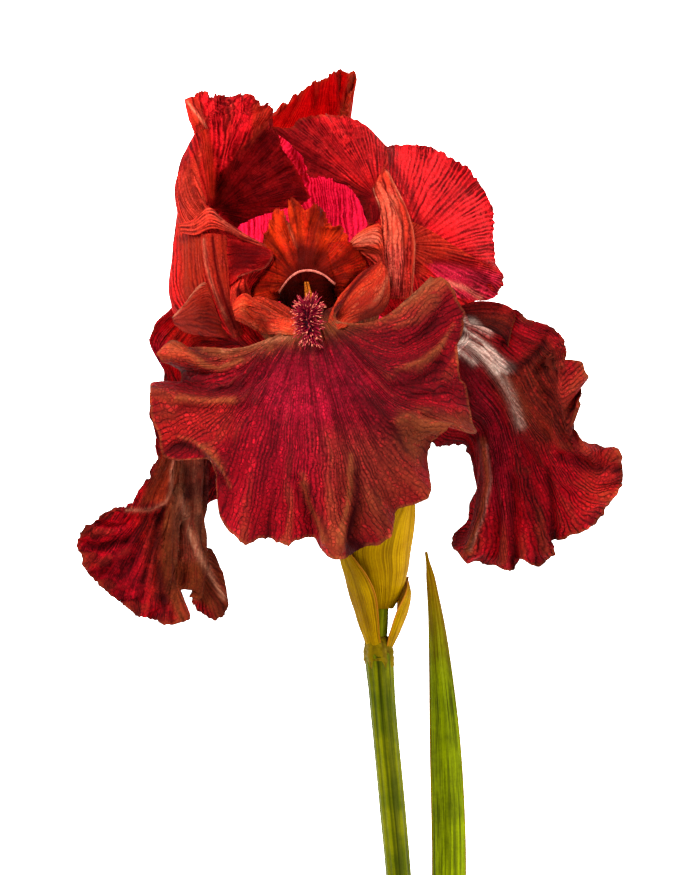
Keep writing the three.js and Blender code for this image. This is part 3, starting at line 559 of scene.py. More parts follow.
def petal_look(name, see=0.45, vein_width=1.3, vein_depth=0.8, net_depth=0.5, band_depth=0.45,
               **own):
    """A thin petal: colours chosen by the tones, forking veins, a finer net, streaks and grain.
    See is the share of light that comes through."""
    c = {**PETAL_COLOURS, **own}
    k = Look(name)
    broad, fine = k.streaks(1.1, 0.10, 3.0), k.streaks(4.2, 0.45, 3.0)
    band = k.times(k.ramp(k.streaks(0.5, 0.035, 2.0), 0.46, 0.62), band_depth)
    wobble = k.times(k.less(fine, 0.5), 1.6)
    line = k.ramp(k.plus(vein_distance(k), wobble), 0.2, vein_width, 1.0, 0.0)
    line = k.times(line, k.ramp(broad, 0.34, 0.56, 0.3, 1.0))
    line = k.times(line, k.ramp(k.speckle(330.0, 2.0), 0.4, 0.56, 0.6, 1.0))
    cells = k.node("TexVoronoi", {"Vector": k.place(), "Scale": 900.0},
                   feature="DISTANCE_TO_EDGE")
    net = k.ramp(cells.outputs["Distance"], 0.0, 0.2, 1.0, 0.0)
    net = k.times(net, k.ramp(fine, 0.38, 0.58, 0.25, 1.0))
    soft = k.times(k.ramp(k.tone("velvet"), 0.2, 1.0, 1.0, 0.7),
                   k.ramp(k.tone("pale"), 0.2, 1.0, 1.0, 0.6))
    line, net = k.times(line, soft), k.times(net, soft)
    grain = k.speckle(2600.0, 2.0)
    lively = k.ramp(fine, 0.3, 0.72, 0.45, 1.0)
    # Pale streaks, partly painted highlights.
    pale = k.times(k.tone("pale"), k.ramp(fine, 0.36, 0.56, 0.3, 1.0))
    dusk = k.tone("dusk")
    # The tones lay painted backlight, painted sheen, painted highlights and painted shade over the
    # petal's own colours.
    colour = k.coats(
        c["deep"], (k.ramp(broad, 0.34, 0.66), c["body"]),
        *((k.times(k.tone(key), lively), c[key]) for key in ("glow", "blush", "velvet", "ember")),
        (pale, c["pale"]), (k.ramp(fine, 0.52, 0.68, 0.0, 0.45), c["spark"]),
        (k.times(band, soft), c["dark"]), (dusk, c["dark"]),
        (k.times(net, net_depth), c["vein"]), (k.times(line, vein_depth), c["vein"]),
        (k.ramp(grain, 0.35, 0.8, 0.0, 0.3), c["dark"]))
    height = k.less(k.times(fine, 1.4), k.times(line, 0.8))
    height = k.plus(k.less(height, k.times(net, 0.5)), k.times(grain, 0.4))
    normal = k.bump(height, 0.8, 0.0003)
    shader = k.surface(colour, k.ramp(grain, 0.2, 0.8, 0.55, 0.8), 0.02, Sheen_Weight=0.03,
                       Sheen_Roughness=0.4, Sheen_Tint=c["sheen"], Normal=normal)
    # The light let through carries the same painted sheen, highlights and shade.
    lit = k.coats(
        c["through"], (k.times(k.tone("blush"), 0.8), c["pink"]),
        (k.times(k.tone("velvet"), 0.7), c["velvet"]), (k.times(pale, 0.6), c["pale"]),
        (k.times(band, 0.7), c["dark"]), (dusk, c["dark"]), (k.times(net, 0.45), c["vein"]),
        (k.times(line, 0.95), c["vein"]))
    return k.done(k.seen_through(see, shader, lit, normal))


def plant_look(name, dark, body, light, edge, ribs=0.35, rough=0.5, see=0.0, streaks=0.5):
    """Green tissue: long parallel veins from the across tone, streaks, patches and a paler edge."""
    k = Look(name)
    x = k.size(k.less(k.calc("FRACT", k.tone("across")), 0.5))
    wide, fine = k.streaks(0.55, 0.02, 4.0), k.streaks(2.6, 0.1, 4.0)
    line = k.times(k.ramp(x, 0.04, 0.3, 1.0, 0.0), k.ramp(wide, 0.35, 0.6, 0.25, 1.0))
    grain = k.speckle(1800.0)
    colour = k.coats(
        body, (k.ramp(k.speckle(120.0), 0.3, 0.7), light),
        (k.ramp(fine, 0.5, 0.66, 0.0, streaks), light),
        (k.ramp(wide, 0.48, 0.62, 0.0, streaks), dark),
        (k.ramp(fine, 0.5, 0.36, 0.0, streaks), dark), (k.tone("dusk"), dark),
        (k.times(line, ribs), dark), (k.tone("glow"), edge),
        (k.ramp(grain, 0.35, 0.8, 0.0, 0.25), dark))
    normal = k.bump(k.plus(k.times(grain, 0.5), k.times(line, -0.6)), 0.4, 0.0002)
    roughness = k.ramp(grain, 0.2, 0.8, rough - 0.08, rough + 0.12)
    shader = k.surface(colour, roughness, 0.02, Normal=normal)
    return k.done(k.seen_through(see, shader, colour, normal))


def beard_look():
    """Dark at the roots, and past the middle some hairs have a pale tip."""
    k = Look("beard_hairs")
    out = k.tone("out")
    shade = k.mix(k.ramp(out, 0.0, 0.5), rgb(22, 0, 4), rgb(86, 3, 20))
    tip = k.mix(k.ramp(k.speckle(1100.0), 0.48, 0.64), rgb(120, 8, 32), rgb(226, 126, 96))
    return k.done(k.surface(k.mix(k.ramp(out, 0.72, 0.92), shade, tip), 0.6, 0.03))


def pollen_look():
    k = Look("anther_pollen")
    grain = k.speckle(3000.0, 2.0)
    colour = k.mix(k.ramp(grain, 0.35, 0.7), rgb(84, 34, 4), rgb(158, 80, 14))
    return k.done(k.surface(colour, 0.85, 0.03, Normal=k.bump(grain, 0.7, 0.0002)))


def floor_look():
    """Pale paper that glows a little, because the photograph is lit from behind."""
    k = Look("pale_floor")
    paper = k.mix(k.speckle(900.0), rgb(246, 246, 244), rgb(252, 252, 251))
    return k.done(k.surface(paper, 0.9, 0.1, Emission_Color=(1, 1, 1, 1), Emission_Strength=1.6))


FALL_LOOK = petal_look("fall_velvet", see=0.26, vein_depth=0.7, net_depth=0.7)
# The fall's pale streaks, with painted highlights on them.
WHITE_LOOK = petal_look("fall_streaked", see=0.3, vein_depth=0.75, net_depth=0.65,
                        pale=rgb(255, 226, 206))
EMBER_LOOK = petal_look("fall_haft", see=0.3, vein_depth=0.6, deep=rgb(176, 26, 13),
                        body=rgb(224, 62, 30), glow=rgb(240, 84, 44), vein=rgb(80, 6, 3),
                        spark=rgb(246, 110, 70))
NECK_LOOK = petal_look(
    "fall_neck", see=0.5, vein_width=1.8, vein_depth=0.85, deep=rgb(96, 3, 11),
    body=rgb(140, 8, 22), glow=rgb(206, 14, 38), velvet=rgb(118, 66, 26), pale=rgb(206, 136, 104),
    spark=rgb(176, 24, 36))
STANDARD_LOOK = petal_look(
    "standard_silk", see=0.6, vein_width=1.9, vein_depth=0.95, band_depth=0.35,
    dark=rgb(84, 2, 4), deep=rgb(170, 9, 8), body=rgb(236, 28, 20), glow=rgb(255, 40, 46),
    ember=rgb(252, 84, 48), blush=rgb(255, 44, 96), velvet=rgb(186, 66, 30),
    pale=rgb(255, 170, 128), vein=rgb(70, 1, 5), spark=rgb(255, 60, 60), through=rgb(255, 84, 104))
BACK_LOOK = petal_look(
    "back_pink", see=0.76, vein_width=1.6, vein_depth=0.8, band_depth=0.2,
    dark=rgb(90, 2, 8), deep=rgb(160, 7, 9), body=rgb(206, 14, 15), glow=rgb(236, 36, 22),
    ember=rgb(240, 80, 40), blush=rgb(255, 52, 116), velvet=rgb(180, 84, 40),
    vein=rgb(140, 4, 20), spark=rgb(255, 60, 70), through=rgb(255, 66, 66))
STYLE_LOOK = petal_look(
    "style_copper", see=0.4, vein_width=2.4, vein_depth=0.85, net_depth=0.3, band_depth=0.7,
    dark=rgb(60, 3, 1), deep=rgb(140, 9, 3), body=rgb(200, 22, 7), glow=rgb(232, 60, 12),
    ember=rgb(236, 52, 20), velvet=rgb(196, 46, 14), vein=rgb(70, 4, 1), spark=rgb(240, 76, 24),
    through=rgb(255, 74, 22))
LIP_LOOK = petal_look(
    "lip_pink", vein_depth=0.15, net_depth=0.2, deep=rgb(140, 36, 32), body=rgb(180, 62, 56),
    pale=rgb(240, 130, 112), spark=rgb(210, 90, 80), through=rgb(220, 120, 110))
BRACT_LOOK = plant_look("spathe_gold", rgb(96, 66, 0), rgb(158, 115, 0), rgb(186, 144, 0),
                        rgb(170, 104, 22), ribs=0.45, see=0.4, streaks=0.5)
TUBE_LOOK = plant_look("tube_green", rgb(56, 66, 0), rgb(110, 118, 0), rgb(140, 140, 4),
                       rgb(120, 50, 20))
STEM_LOOK = plant_look("stem_green", rgb(24, 28, 0), rgb(62, 70, 0), rgb(98, 98, 0),
                       rgb(150, 120, 8), ribs=0.55, streaks=0.7)
COLLAR_LOOK = plant_look("collar_brown", rgb(48, 34, 0), rgb(84, 72, 0), rgb(120, 96, 0),
                         rgb(96, 66, 0), ribs=0.4, streaks=0.5)
FILAMENT_LOOK = plant_look("filament_cream", rgb(96, 44, 8), rgb(150, 76, 18), rgb(190, 110, 36),
                           rgb(150, 96, 24), ribs=0.3)
COLUMN_LOOK = plant_look("column_red", rgb(60, 10, 4), rgb(130, 30, 10), rgb(170, 60, 20),
                         rgb(130, 30, 10), ribs=0.3)
LEAF_LOOK = plant_look("leaf_green", rgb(44, 48, 0), rgb(98, 110, 0), rgb(140, 154, 0),
                       rgb(150, 96, 4), ribs=0.75, see=0.35, rough=0.42, streaks=0.7)
BEARD_LOOK = beard_look()
POLLEN_LOOK = pollen_look()

# How the veins, folds and tones of the petals are laid out.
VEIN_STEP = 8  # net units for one step of the travel tone
FORKS = ((0.16, 0.4), (0.46, 0.75))  # shares of the way along which a vein opens into two
FAN_SOFT = 9.0  # pixels over which a fan's veins calm down at its outline
# The veins wander by noise: its share of a vein, its cells for a vein and for a travel step, and
# what is added to the seed.
VEIN_WARPS = ((0.42, 0.45, 0.09, 0), (0.16, 0.9, 0.3, 1), (0.07, 1.7, 0.8, 9),
              (0.05, 2.3, 1.7, 10))
FRILL_STEP = 7  # net units for one wave of the frill at the sides
TEETH = ((0.6, 95, 5), (0.5, 190, 6))  # their share, how many lie across a petal, added to the seed
TEETH_SPAN = 330  # net units of a side margin that hold as many teeth as the end does
HOLLOW_PASSES = 80  # rounds of blurring that tell a ridge from a hollow
HOLLOW_DEPTH = 3.0  # net units
RIM_WIDTH = 3.0  # net units of painted sheen along the end of a petal
CLIFF_SLOPE = 1.5  # net units over which a cliff falls
SHEET_THICKNESS = 1.7  # net units at the middle of a petal
MARGIN_THICKNESS = 0.7
PETAL_TONES = ("glow", "ember", "blush", "velvet", "pale", "dusk")


def veined(sheet, veins, seed, fans):
    """Tones that lay out the veins: across counts them, travel is the way along them and the
    forks open towards the margin. A fan is (x, y, veins to a full turn, its first angle, the
    radius where the forks start, its reach, outline): there the veins spread from x, y."""
    way = sheet.s + 0 * sheet.u
    across = sheet.u * veins + 0 * sheet.s
    pitch = sheet.widths() / veins + 0 * sheet.u
    sheet.length = sheet.reach()
    travel = way * sheet.length / VEIN_STEP
    x, y = sheet.pixels()
    sheet.calm = np.ones(x.shape)
    for cx, cy, count, turn, start, reach, outline in fans:
        inside = np.ones(x.shape, bool)
        if outline:
            share = sheet.inside(outline, FAN_SOFT)
            sheet.calm *= (2 * share - 1) ** 2
            inside = share > 0.5
        radius = np.hypot(x - cx, y - cy)
        angle = np.mod(np.arctan2(y - cy, x - cx) - turn, 2 * np.pi)
        across = np.where(inside, angle * count / (2 * np.pi) + 100, across)
        way = np.where(inside, np.clip((radius - start) / (reach - start), 0, 1), way)
        pitch = np.where(inside, 2 * np.pi * radius / count, pitch)
        travel = np.where(inside, radius / VEIN_STEP, travel)
    warps = [share * noise(across * wide, travel * long, seed + more)
             for share, wide, long, more in VEIN_WARPS]
    across = across + sum(warps[1:], warps[0])
    late = 0.12 * noise(np.floor(across) * 7.3, sheet.s * 0 + seed, seed + 2)
    (a0, a1), (b0, b1) = FORKS
    sheet.tones = {"across": across, "travel": travel, "pitch": pitch,
                   "fork_one": 0.25 * smooth(way + late, a0, a1),
                   "fork_two": 0.125 * smooth(way + late * 0.8, b0, b1)}


def ruffled(sheet, seed, pleat=3.0, frill=46, frill_height=2.4, crumple=1.0, teeth=2.2, sides=1.0):
    """Pleats that run with the veins, a fine frill and teeth at the margin, and a crumple. Sides
    is the share of the frill and teeth that the side margins get."""
    u, s = sheet.u, sheet.s
    a, t = sheet.tones["across"], sheet.tones["travel"]
    fan = noise(a * 0.42, t * 0.05, seed) + 0.6 * noise(a * 0.95, t * 0.1, seed + 1)
    heights = pleat * fan * smooth(s, 0.15, 0.85)
    heights = heights + 0.6 * pleat * noise(a * 1.3, t * 0.06, seed + 8) * smooth(s, 0.45, 0.95)
    heights = heights + crumple * noise(a * 1.9, t * 0.25, seed + 2) * smooth(s, 0.05, 0.4)
    heights = heights + 0.5 * crumple * noise(a * 3.6, t * 0.7, seed + 3) * smooth(s, 0.05, 0.4)
    heights = heights * sheet.calm
    heights = heights + frill_height * noise(u * frill, s * 4, seed + 4) * smooth(s, 0.82, 1.0)
    side = sides * smooth(np.abs(u - 0.5), 0.45, 0.5) * smooth(s, 0.3, 0.6)
    heights = heights + frill_height * noise(s * sheet.length / FRILL_STEP, u * 3,
                                             seed + 12) * side
    sheet.raise_by(heights)
    end = smooth(s, 0.93, 1.0)
    for axis, way, at, share in (
            (0, 1, u, end), (1, np.sign(u - 0.5), s * sheet.length / TEETH_SPAN, side)):
        out = np.gradient(sheet.grid, axis=axis)
        out /= np.maximum(np.linalg.norm(out, axis=2, keepdims=True), 1e-9)
        bite = 0.8 * noise(at * frill, 0 * way, seed + 7)
        for part, count, more in TEETH:
            bite = bite + part * noise(at * count, 0 * way, seed + more)
        sheet.grid = sheet.grid + out * (way * teeth * bite * share)[..., None]


def toned(sheet, seed, margin=0.4, ridge=0.45, glow=0.1):
    """Tones from the form: painted backlight at the margin, painted sheen on ridges, painted shade
    in hollows.
    """
    z = sheet.grid[..., 2]
    proud = (z - blurred(z, HOLLOW_PASSES)) / HOLLOW_DEPTH
    mottle = noise(sheet.u * 9, sheet.s * 5, seed)
    # Painted backlight: a brighter red towards the thin margin.
    sheet.tone("glow", glow + margin * smooth(sheet.s, 0.55, 1.0) * (0.75 + 0.35 * mottle))
    # Painted sheen on the ridge tops.
    sheet.tone("velvet", ridge * smooth(proud, 0.2, 1.2))
    # Painted shade in the hollows.
    sheet.tone("dusk", 0.4 * smooth(-proud, 0.2, 1.6))
    # Painted sheen along the end of the petal.
    rim = RIM_WIDTH / sheet.length
    sheet.tone("velvet", 0.8 * smooth(sheet.s, 1 - rim, 1 - rim / 2))


MARKS = ("fan", "ridge", "cliff", "line", "area")


def drawn(text):
    """The marks of a drawing, by kind. A mark is written as its kind, its tone and numbers, and
    its points in pixels of the photograph."""
    marks = {kind: [] for kind in MARKS}
    for word in text.split():
        if word in MARKS:
            mark = [[]]
            marks[word].append(mark)
        elif "," in word:
            mark[-1] += points_of(word)
        else:
            mark.insert(-1, word if word in PETAL_TONES else float(word))
    return marks


def add_petal(name, node, net, slot, look, across, rows, veins, seed, drawing="", tones=(),
              **ruffle):
    """A petal from its net, with what is drawn on it: fan (see veined), ridge and cliff (height,
    width), line (tone, amount, width) and area (tone, amount, softness)."""
    sheet = Sheet(net, across, rows)
    sheet.kind = node, slot, look
    marks = drawn(drawing)
    veined(sheet, veins, seed, marks["fan"])
    ruffled(sheet, seed, **ruffle)
    for height, width, line in marks["ridge"]:
        sheet.raise_by(height * sheet.near(line, width), skyward=True)
    for height, width, line in marks["cliff"]:
        d = sheet.distance(line)
        step = np.tanh(d / CLIFF_SLOPE) * np.exp(-((d / width) ** 2))
        sheet.raise_by(-height * step, skyward=True)
    toned(sheet, seed, **dict(tones))
    for key, amount, width, line in marks["line"]:
        sheet.tone(key, amount * sheet.near(line, width))
    for key, amount, soft, outline in marks["area"]:
        sheet.tone(key, amount * sheet.inside(outline, soft))
    for key in PETAL_TONES:
        sheet.tones[key] = np.clip(sheet.spread(sheet.tones.get(key, 0.0)), 0, 1)
    margin = smooth(sheet.s, 0.5, 1.0)
    thickness = SHEET_THICKNESS + (MARGIN_THICKNESS - SHEET_THICKNESS) * margin
    add_sheet(name, sheet, thickness, look, node)
    return sheet


FOLD = {"pleat": 0.5, "crumple": 0.35, "frill": 12, "frill_height": 0.3, "teeth": 0.5}
FOLD_REACH = 3.0  # pixels round a point in which the petal's height is read


def add_fold(name, petal, across, rows, veins, seed, rings, drawing, look=None):
    """A fold of a petal: a small sheet lying on it. Its rings have points of x and y in pixels of
    the photograph and a height over the petal."""
    x, y = petal.pixels()
    z = petal.grid[..., 2]

    def placed(px, py, height):
        gap = np.hypot(x - px, y - py)
        top = z[gap < max(FOLD_REACH, gap.min() + 0.5)].max()
        return [px - HEART_PIXEL[0], HEART_PIXEL[1] - py, top + height]

    rings = [[placed(*point) for point in ring] for ring in rings_of(rings)]
    node, slot, own = petal.kind
    add_petal(name, node, rings, slot, look or own, across, rows, veins, seed, drawing, **FOLD)


# The petals and their folds, each with the marks that are drawn on it.
# In these marks, glow paints backlight, velvet paints brown and sheen, dusk paints shade and some
# dark veins, and pale paints pale streaks and highlights.
FRONT_FALL_MARKS = """
ridge 5 6 172,347 190,354 205,366 220,371 245,362 272,352
ridge -5 6 190,348 205,356 218,361
ridge -7 8 170,374 188,383 212,389 240,386 265,372
ridge 4 5 160,394 182,399 205,402 235,402
ridge -3 5 185,410 215,413 250,408
ridge 4 4 395,372 420,364 438,350 450,330 460,316
ridge -8 7 395,387 425,380 443,362 456,338
ridge -5 5 405,345 425,335 440,315 450,298
ridge 4 5 395,330 415,322 432,302
ridge 4 5 395,422 420,412 445,408 462,412
ridge -5 5 400,400 425,395 450,388 463,380
ridge 4 4 428,392 450,386 464,384
ridge 5 5 305,475 314,500 322,522 328,540
ridge -5 5 296,480 306,505 316,530
ridge 5 5 350,470 349,500 343,530 340,545
ridge -5 5 358,475 359,505 352,535
ridge 3 4 278,500 272,525 269,545
ridge -3 4 286,505 283,530
ridge 3 4 375,490 385,515 392,535
ridge 2.5 4 312,350 319,375 322,410 331,455 338,490
ridge 4 6 190,438 208,448 224,466 234,486
ridge -5 6 180,446 196,452 212,466 222,482
line velvet 1 10 300,338 270,341 240,348 225,352 207,349 190,339 173,344
line velvet 1 13 328,328 360,318 390,309 412,296 428,282 440,277
line pale .45 3 290,339 270,342 240,348 225,351
line pale .3 4 340,324 360,318 390,309 412,296 428,282
line velvet .8 3 176,347 192,353 205,365 220,370 243,361
line velvet .6 2 178,398 205,401 235,401
line velvet .5 2 405,368 425,361 440,347 452,326
line dusk .44 6 172,376 190,384 214,390 240,387
line dusk .39 5 195,352 210,359
line dusk .44 6 405,386 430,378 446,360 457,340
line dusk .33 4 418,342 434,325 445,305
line dusk .5 2.5 306,345 311,380 318,420 326,460
line dusk .5 2 322,345 330,380 336,430
line dusk .5 2 297,345 288,375 281,410 277,450
line dusk .5 2 288,347 272,374 260,405
line dusk .45 2 313,342 316,365 318,385
line dusk .45 2 330,340 345,362 362,384 384,404
line dusk .45 2 338,336 362,352 388,364
line velvet .8 2.5 303,482 311,505 318,520 324,538
line dusk .6 3 309,486 317,505 324,522 329,538
line velvet .8 2.5 351,455 350,490 345,515 340,540
line dusk .6 4 357,460 357,490 352,515 346,540
line dusk .5 3 372,485 380,505 384,525 383,540
line dusk .4 3 276,490 272,515 268,540
line dusk .4 2.5 292,440 290,480 288,520
line velvet .6 1.8 182,437 194,440 209,450 224,468 232,486
line dusk .5 3 370,400 392,425 404,450
line dusk .4 3 345,380 365,420 380,460
area ember .2 10 152,392 235,400 235,435 200,440 160,455
area ember .3 6 155,345 190,342 200,370 160,360
area glow .3 14 225,480 330,500 330,545 225,545
area glow .3 8 398,470 430,460 430,500 398,510
area blush .22 40 255,380 400,380 380,480 260,480
area blush .4 14 280,352 345,346 372,384 330,420 280,420 262,390
area velvet .6 8 398,412 470,414 474,428 432,436 418,465 395,440
area dusk .35 10 360,395 410,390 420,430 400,450 370,430
area velvet .45 25 330,440 420,430 410,500 340,545
area glow .5 6 440,280 455,300 462,380 445,380 440,330
area dusk .95 3 344,544 352,538 364,543 360,553 346,556
area dusk .5 3 166,454 173,444 188,440 212,455 230,487 206,458 188,448
area ember .85 3 238,318 250,294 264,292 297,314 304,330 300,336 255,332
area ember .7 4 335,322 345,303 360,280 374,266 386,280 383,302 355,317
area pale .5 3 368,306 374,286 382,278 384,292 376,304
area velvet .7 4 430,447 450,430 474,431 482,456 452,444"""
front = add_petal(
    "front_fall", "fall_front", FALL_FRONT, "fall_petal", FALL_LOOK,
    340, 220, 30, 11, FRONT_FALL_MARKS, sides=0.0)

FALL_HAFT_LEFT_RINGS = """
234,304,-2 235,312,-1 237,321,-2 / 246,295,3 245,309,3 246,325,0 / 257,303,3 256,315,4 257,331,-1
/ 269,309,2 268,319,4 270,335,-1 / 282,316,1 282,323,3 283,336,-1
/ 297,322,-2 297,327,-1 297,336,-3"""
FALL_HAFT_LEFT_MARKS = """
line dusk .5 1.5 246,296 268,309 293,321
line velvet .5 5 244,326 268,334 295,336"""
add_fold("fall_haft_left", front, 50, 60, 3, 15, FALL_HAFT_LEFT_RINGS, FALL_HAFT_LEFT_MARKS,
         EMBER_LOOK)

FALL_HAFT_RIGHT_RINGS = """
380,262,1 382,266,2 386,271,1 / 374,267,2 380,276,5 389,288,2 / 362,274,2 373,286,6 388,303,0
/ 351,285,2 363,296,6 380,314,-1 / 340,298,2 350,307,4 363,321,-1 / 333,312,0 339,319,1 347,328,-2
/ 328,324,-2 331,326,-2 337,332,-4"""
FALL_HAFT_RIGHT_MARKS = """
line dusk .6 3 377,263 365,274 354,287 344,301 335,317
line pale .5 2.5 386,280 380,296 370,308
area dusk .4 30 330,262 390,262 390,330 330,330"""
add_fold("fall_haft_right", front, 50, 60, 3, 16, FALL_HAFT_RIGHT_RINGS, FALL_HAFT_RIGHT_MARKS,
         EMBER_LOOK)

LEFT_FALL_MARKS = """
fan 176 470 120 .9 30 150 60,505 120,508 158,510 172,500 172,640 60,640
ridge 6 6 174,500 170,530 169,560 173,590 184,616
ridge -6 6 183,520 180,555 184,580
ridge 6 5 180,490 187,525 202,560 215,585 224,600
ridge -4 4 198,520 208,550 222,580
ridge -5 6 160,520 158,560 165,600
ridge 3 4 120,528 100,533 84,530
ridge -4 4 125,540 105,546 84,548
ridge 3 4 128,550 108,560 90,565
cliff 4 9 122,511 150,510 166,503 171,490 171,470 175,455
cliff -3 8 203,455 203,480 201,508
line pale .8 2.2 128,510 150,510 166,503 172,490 172,470 175,456
line velvet 1 8 176,470 172,520 168,560 173,590 184,616
line pale .8 3 182,500 188,530 203,562 216,586 224,598
line pale .2 3 194,470 197,510 201,540
line dusk .39 5 186,470 188,495
line dusk .33 4 158,520 156,560 163,600
line dusk .33 3 128,541 105,546 82,549
area velvet .7 8 178,452 205,455 208,510 230,600 176,600 172,500
area pale .22 8 178,452 205,455 206,510 200,560 176,560 172,500
area dusk .2 6 176,452 206,455 210,520 226,600 180,600 172,500
area velvet .9 5 140,505 150,480 162,450 172,455 170,500
area ember .7 8 150,500 168,460 172,480 168,503
area dusk .3 6 204,452 230,455 225,500 200,505 182,500
area velvet .35 12 140,515 172,515 168,600 150,600
area velvet .9 5 175,560 205,565 232,612 218,620 190,590 174,590
area dusk .3 5 195,580 212,580 236,620 205,620
area velvet .7 5 190,500 203,500 225,560 228,590 205,560
area glow .75 14 60,505 116,512 140,560 150,630 60,610
area dusk .12 14 130,540 165,540 165,620 120,610
area blush .5 5 148,345 165,330 175,350 160,368
area ember .5 5 150,345 180,320 250,330 200,345"""
add_petal(
    "left_fall", "fall_left", FALL_LEFT, "fall_petal", NECK_LOOK,
    260, 200, 24, 21, LEFT_FALL_MARKS)

RIGHT_FALL_MARKS = """
ridge 5 6 455,335 475,345 495,362 512,390 520,425 522,470
ridge -5 8 540,370 548,400 545,440
ridge -3 5 514,316 508,332 500,346
ridge -4 5 546,334 536,352 524,366
ridge 4 5 560,340 552,352 556,365
ridge -5 5 556,345 548,360 540,372
ridge 4 5 484,440 489,480 481,520 468,552
ridge -4 5 496,450 500,500 494,550
ridge -5 5 546,470 550,505 552,545
ridge 4 6 530,470 538,510 545,550
ridge -4 5 512,480 512,520 514,560
ridge -6 6 560,455 590,466 620,468
ridge 4 5 565,445 590,452 618,455
ridge 3 4 570,480 600,492 615,496
ridge -3 4 560,490 590,505 608,510
line pale 1 5 450,338 466,342 482,354 496,370
line pale .9 4 453,350 464,354 474,362
line pale .8 5 457,318 474,322 488,330
line pale .6 4 486,348 500,360 510,368
line pale .3 5 496,370 510,395 520,425
line velvet .5 9 480,345 505,385 522,420
line velvet .7 4 483,440 488,480 480,520 468,550
line pale .1 1.5 487,445 491,480 484,515 470,550
line pale .9 2 460,328 478,338 494,352 506,372
line dusk .7 4 544,342 537,354 524,364 507,368
line dusk .4 2.5 514,318 508,334 500,346
line dusk .44 4 548,470 551,505 553,540
line dusk .5 4 560,458 590,469 618,470
line dusk .28 4 512,480 512,520 514,560
line dusk .28 5 462,365 468,395
area velvet .4 14 500,380 545,340 556,350 580,400 572,440 540,445 515,410
area glow .7 8 548,375 580,358 586,375 580,398 550,402
area glow 1 10 545,445 622,448 616,500 560,530 545,500
area ember .25 8 585,445 622,448 616,500 580,520 580,480
area glow .6 5 458,304 508,304 514,316 500,322 458,312
area glow .6 5 508,325 545,326 550,340 515,360 505,340
area glow .8 4 548,336 562,334 562,344 552,348
area glow .5 12 450,530 550,520 550,570 450,570
area blush .35 12 462,365 480,365 512,440 505,520 490,500 482,430
area dusk .4 10 460,355 475,360 490,420 484,440 466,400"""
right_fall = add_petal(
    "right_fall", "fall_right", FALL_RIGHT, "fall_petal", WHITE_LOOK,
    260, 200, 24, 31, RIGHT_FALL_MARKS)

FALL_WAVE_A_RINGS = """
461,306,1 466,314,1 470,324,-2 / 480,302,3 483,314,3 487,328,-2 / 498,304,4 499,316,4 500,336,-2
/ 510,309,4 508,320,4 505,342,-2 / 515,316,2 512,326,2 507,350,-2"""
FALL_WAVE_A_MARKS = """
area glow 1 5 458,300 518,302 516,316 470,314
area ember .3 8 458,300 518,302 512,330 480,320
area velvet .2 6 470,312 508,318 505,345 480,330
area pale .8 4 458,316 474,318 490,336 470,330"""
add_fold("fall_wave_a", right_fall, 50, 80, 24, 31, FALL_WAVE_A_RINGS, FALL_WAVE_A_MARKS)

LEFT_STANDARD_MARKS = """
fan 212 212 84 4.3 10 110 222,175 262,130 288,145 310,205 232,232 216,208
fan 216 225 64 3 30 130 186,95 256,90 274,110 262,130 222,175 216,208 200,200 186,140
ridge -4 6 203,112 208,128 213,150 216,190
ridge 4 6 230,108 227,130 222,165
ridge -4 5 250,112 246,130 236,155
cliff 4 10 262,130 240,150 224,174 217,205
line dusk .6 4 184,240 212,236 232,240 250,248
line velvet 1 6 196,110 205,135 211,160 214,195
line dusk .5 4 252,280 262,276 274,268
area ember .6 8 178,180 205,150 214,200 205,230 182,236
area velvet .35 10 178,180 205,150 214,200 205,230 182,236
area glow .8 5 202,98 253,97 246,130 224,172 216,160
area dusk .6 4 263,128 240,150 222,176 217,205 232,230 310,206 286,144
area velvet .8 3 253,104 272,110 272,122 252,146
area velvet .9 6 182,242 208,240 208,305 184,300
area dusk .35 6 182,242 208,240 208,305 184,300"""
left = add_petal(
    "left_standard", "standard_left", STANDARD_LEFT, "standard_petal", STANDARD_LOOK,
    260, 230, 22, 41, LEFT_STANDARD_MARKS, pleat=1.4, frill_height=1.2, crumple=0.7)

# Outlines of the right standard's upper flap, of its lobe and of the tail below them.
FLAP = """
265,120 300,110 350,115 386,148 389,165 381,178 372,195 366,225 345,195 330,184 308,184 300,160"""
LOBE = "388,140 500,140 500,265 470,262 440,243 412,226 404,200 384,172 389,160"
TAIL = "412,226 440,243 470,262 510,270 510,310 430,310 414,270"
RIGHT_STANDARD_MARKS = f"""
fan 392 262 72 3.4 40 150 {LOBE}
fan 380 205 64 2.6 15 100 {FLAP}
fan 400 262 60 5.9 20 110 {TAIL}
ridge -6 6 345,192 358,203 366,222
line dusk .5 3 413,230 438,244 460,256 478,266
line dusk .6 4 388,150 391,166 400,184 412,206 418,226
area glow .7 8 {LOBE}
area glow .3 8 {FLAP}
area dusk .7 16 272,130 300,128 330,160 365,222 335,186 308,184
area glow .6 8 318,118 350,120 385,150 386,168 375,178 350,140
area ember .8 4 354,256 366,258 380,270 386,284 370,280
area velvet .6 6 412,230 440,246 470,262 440,262 430,275 414,280"""
right = add_petal(
    "right_standard", "standard_right", STANDARD_RIGHT, "standard_petal", STANDARD_LOOK,
    300, 220, 22, 51, RIGHT_STANDARD_MARKS, pleat=1.4, frill_height=1.4, crumple=0.7)

